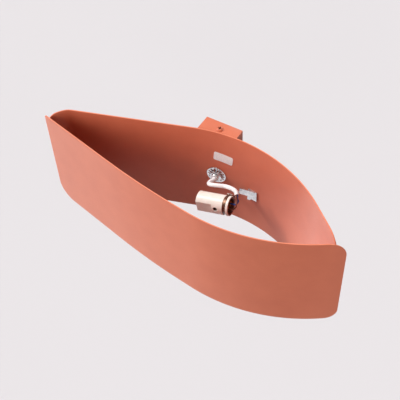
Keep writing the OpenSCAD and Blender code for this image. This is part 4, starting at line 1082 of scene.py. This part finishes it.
def body_grid():
    """The body as its outline turned round its axis. Where it is outermost and near the mouth its
    radius is cut by the two flats, and it dips where the side hole is. The dip is marked for
    painted shade, and the rear for brown."""
    outline = eased([(0, MOUTH_BORE), (0, BODY_R), (GROOVE[0], BODY_R), (GROOVE[0], GROOVE[2]),
                     (GROOVE[1], GROOVE[2]), (GROOVE[1], BODY_R), (BODY_LEN, BODY_R), (BODY_LEN, CAVITY),
                     (MOUTH_DEPTH + WEB, CAVITY), (MOUTH_DEPTH + WEB, 0.0), (MOUTH_DEPTH, 0.0),
                     (MOUTH_DEPTH, MOUTH_BORE)], BODY_EASE, BODY_STEP)
    angle = np.linspace(0, 2 * math.pi, BODY_TURNS + 1)
    depth = outline[:, :1]
    radius = outline[:, 1:]
    flat = FLATS[0] / 2 / np.maximum(abs(np.cos(angle)), 1e-6)
    near = np.clip((FLATS[1] - depth) / FLATS_EASE + 0.5, 0, 1)
    outer = radius > MOUTH_BORE + 0.3
    cut = outer & (depth < MOUTH_DEPTH)
    flat_edge = np.minimum(flat, BODY_R) - (BODY_R - radius)
    sunk = radius + near * (np.maximum(flat_edge, MOUTH_BORE) - radius)
    radius = np.where(cut, np.minimum(radius, sunk), radius)
    off = np.mod(angle - SIDE_HOLE_AT + math.pi, 2 * math.pi) - math.pi
    away = np.hypot(depth - SIDE_HOLE[0], BODY_R * off)
    dip = np.clip((SIDE_HOLE[1] - away) / SIDE_HOLE_EASE + 0.5, 0, 1) * (outer & (depth < GROOVE[0]))
    radius = radius - dip * SIDE_HOLE_DEEP
    rear = (depth > MOUTH_DEPTH + 1.0) & (outline[:, 1:] < CAVITY + REAR_BROWN)
    return spun(np.broadcast_to(depth, radius.shape), radius, BODY_TURNS), np.maximum(dip, 1.0 * rear)


mouth_place = (set_in(np.array([MOUTH, 0, 0]), *holder_frame), holder_axes)
# brown marks the side hole for painted shade and the rear for its brown.
grid, brown = body_grid()
body = skin("ceramic_body", [set_in(grid, *mouth_place)], "housing", glazed_ceramic("cream_glazed_ceramic"),
            sharp=60, marks=[brown])
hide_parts("holder_body")

# The lamp's shell and centre contact: a tube of brass sheet, rolled with the lamp cap's round thread and
# pressed into the ceramic mouth, and a bent brass spring on the web behind it.
SHELL = (1.5, 17.0)
SHELL_R = 7.2
SHELL_T = 0.3
SHELL_PLAIN = 1.5
SHELL_WAVE = 0.22
SHELL_PITCH = 2.82


def shell_grid():
    """A thin tube whose radius swings once a pitch along the lamp cap's helix, plain at its mouth."""
    depth = np.linspace(SHELL[0], SHELL[0] + SHELL[1], TUBE_RINGS)[:, None]
    angle = np.linspace(0, 2 * math.pi, TUBE_TURNS + 1)
    fade = np.clip((depth - SHELL[0]) / SHELL_PLAIN, 0, 1)
    middle = SHELL_R + fade * SHELL_WAVE * np.sin(2 * math.pi * depth / SHELL_PITCH - angle)
    inside = middle[::-1] - SHELL_T
    radius = np.concatenate([middle, inside, middle[:1]])
    return spun(np.concatenate([depth, depth[::-1], depth[:1]])[:, 0], radius, TUBE_TURNS)


shell = skin("lamp_cap_shell", [set_in(shell_grid(), *mouth_place)], "housing", brass, sharp=60)
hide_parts("holder_shell")
contact = softened("centre_contact", "centre_contact_spring", 0.12, "housing", brass)

# The two terminals in the rear: stamped and folded brass, riveted to the web, each with a slotted
# screw of zinc plated steel that clamps its wire.
TERMINAL_SCREW = (2.6, 0.45)
TERMINAL_HEAD = (4.2, 1.5)
TERMINAL_TOP = 2.0
TERMINAL_NEAR = 31.1
TERMINAL_LONG = 6.9
TERMINAL_SCREW_SHARE = 0.62
terminals = softened("holder_terminals", "lampholder_terminals", 0.2, "housing", brass)
screw_x = MOUTH + TERMINAL_NEAR + TERMINAL_SCREW_SHARE * TERMINAL_LONG
screw_long = TERMINAL_TOP - TERMINAL_HEIGHT - WIRE_D / 2
grid = screw_grid(TERMINAL_SCREW[0], screw_long, TERMINAL_SCREW[1], TERMINAL_HEAD,
                  ("slot", 0.7, 0, 0.8), 72)
pair = [set_in(grid + [screw_x, side * TERMINAL_SIDE, TERMINAL_TOP + SLIP], *holder_frame)
        for side in (-1, 1)]
terminal_screws = skin("terminal_screw_pair", pair, "housing", barrel_zinc, sharp=50)
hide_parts("holder_terminal_screws")

# The clip: a band of blued spring steel, sprung into the body's groove, with an ear that a zinc plated
# screw fixes to the bracket.
CLIP_SCREW = (3.0, 0.5)
CLIP_HEAD = (5.5, 2.0)
BRACKET_T = 1.2
EAR_IN = 11.85
EAR_T = 1.2


def spring_steel(name):
    """Blued spring steel: brown black with warm clouds and fine draw lines."""
    return clouded(name, (screen(98, 70, 58), screen(150, 118, 98)), (3.0, 3.0), (0.4, 2.0), (0.3, 0.5),
                   (0.012, 0.5), 1.0)[0]


clip = softened("holder_clip", "holder_clip_band", 0.2, "housing", spring_steel("blued_spring_steel"))
clip_seat = EAR_IN + EAR_T + BRACKET_T + SEAM + SLIP
grid = screw_grid(CLIP_SCREW[0], clip_seat - EAR_IN, CLIP_SCREW[1], CLIP_HEAD, ("slot", 0.8, 0, 0.9), 96)
outwards = (holder_axes[0], holder_axes[2], holder_axes[1])
grid = set_in(grid, set_in(np.array([0, clip_seat, 0]), *holder_frame), outwards)
clip_screw = skin("clip_fixing", [grid], "housing", barrel_zinc, sharp=50)
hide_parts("clip_screw")

# The bracket: a strip of zinc plated steel sheet, folded twice. Its flange is fixed to the shade, and
# the clip's ear is screwed to its foot beside the lampholder.
bracket = softened("lamp_bracket", "lamp_bracket_fold", 0.35, "housing", rolled_zinc, 4)

# The label: a blank, thin film of satin white vinyl with round corners, stuck to the curved inner face
# above the nipple, a little askew.
LABEL = (24.0, 13.4, 0.2, 2.2)
LABEL_STEP = 0.8
LABEL_ROWS = 9
LABEL_AT = (7.0, 29.0)
LABEL_TILT = math.radians(6)
LABEL_EDGE = 0.06


def on_label(along_it, up_it, depth):
    """The film's flat pattern, tilted and laid on the curved face: depth falls with the square of x."""
    a = along_it - LABEL[0] / 2
    x = a * math.cos(LABEL_TILT) + up_it * math.sin(LABEL_TILT)
    z = up_it * math.cos(LABEL_TILT) - a * math.sin(LABEL_TILT)
    face = inner_r - SEAM - LABEL[2] / 2 + depth
    y = np.sqrt(face ** 2 - x ** 2) - inner_r
    return set_in(np.stack([y, x, z], -1), *strip_frame(*LABEL_AT))


def label_film(name):
    """Satin white vinyl: faint pulp clouds and a little ripple from being rubbed down."""
    material, shader = clouded(name, (screen(246, 247, 249), screen(253, 254, 255)), (3.5, 3.0), (1.8, 2.0),
                               (0.22, 0.36), (0.02, 0.4))
    shader.inputs["Coat Weight"].default_value = 0.7
    shader.inputs["Coat Roughness"].default_value = 0.12
    return material


grids, marks, keeps = plate_grids(LABEL[0], LABEL[1] / 2, [LABEL[3]] * 4, LABEL[2], LABEL_EDGE, LABEL_STEP,
                                  LABEL_ROWS, on_label)
label = skin("blank_label", grids, "housing", label_film("white_label_film"), sharp=50)
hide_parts("rating_label")
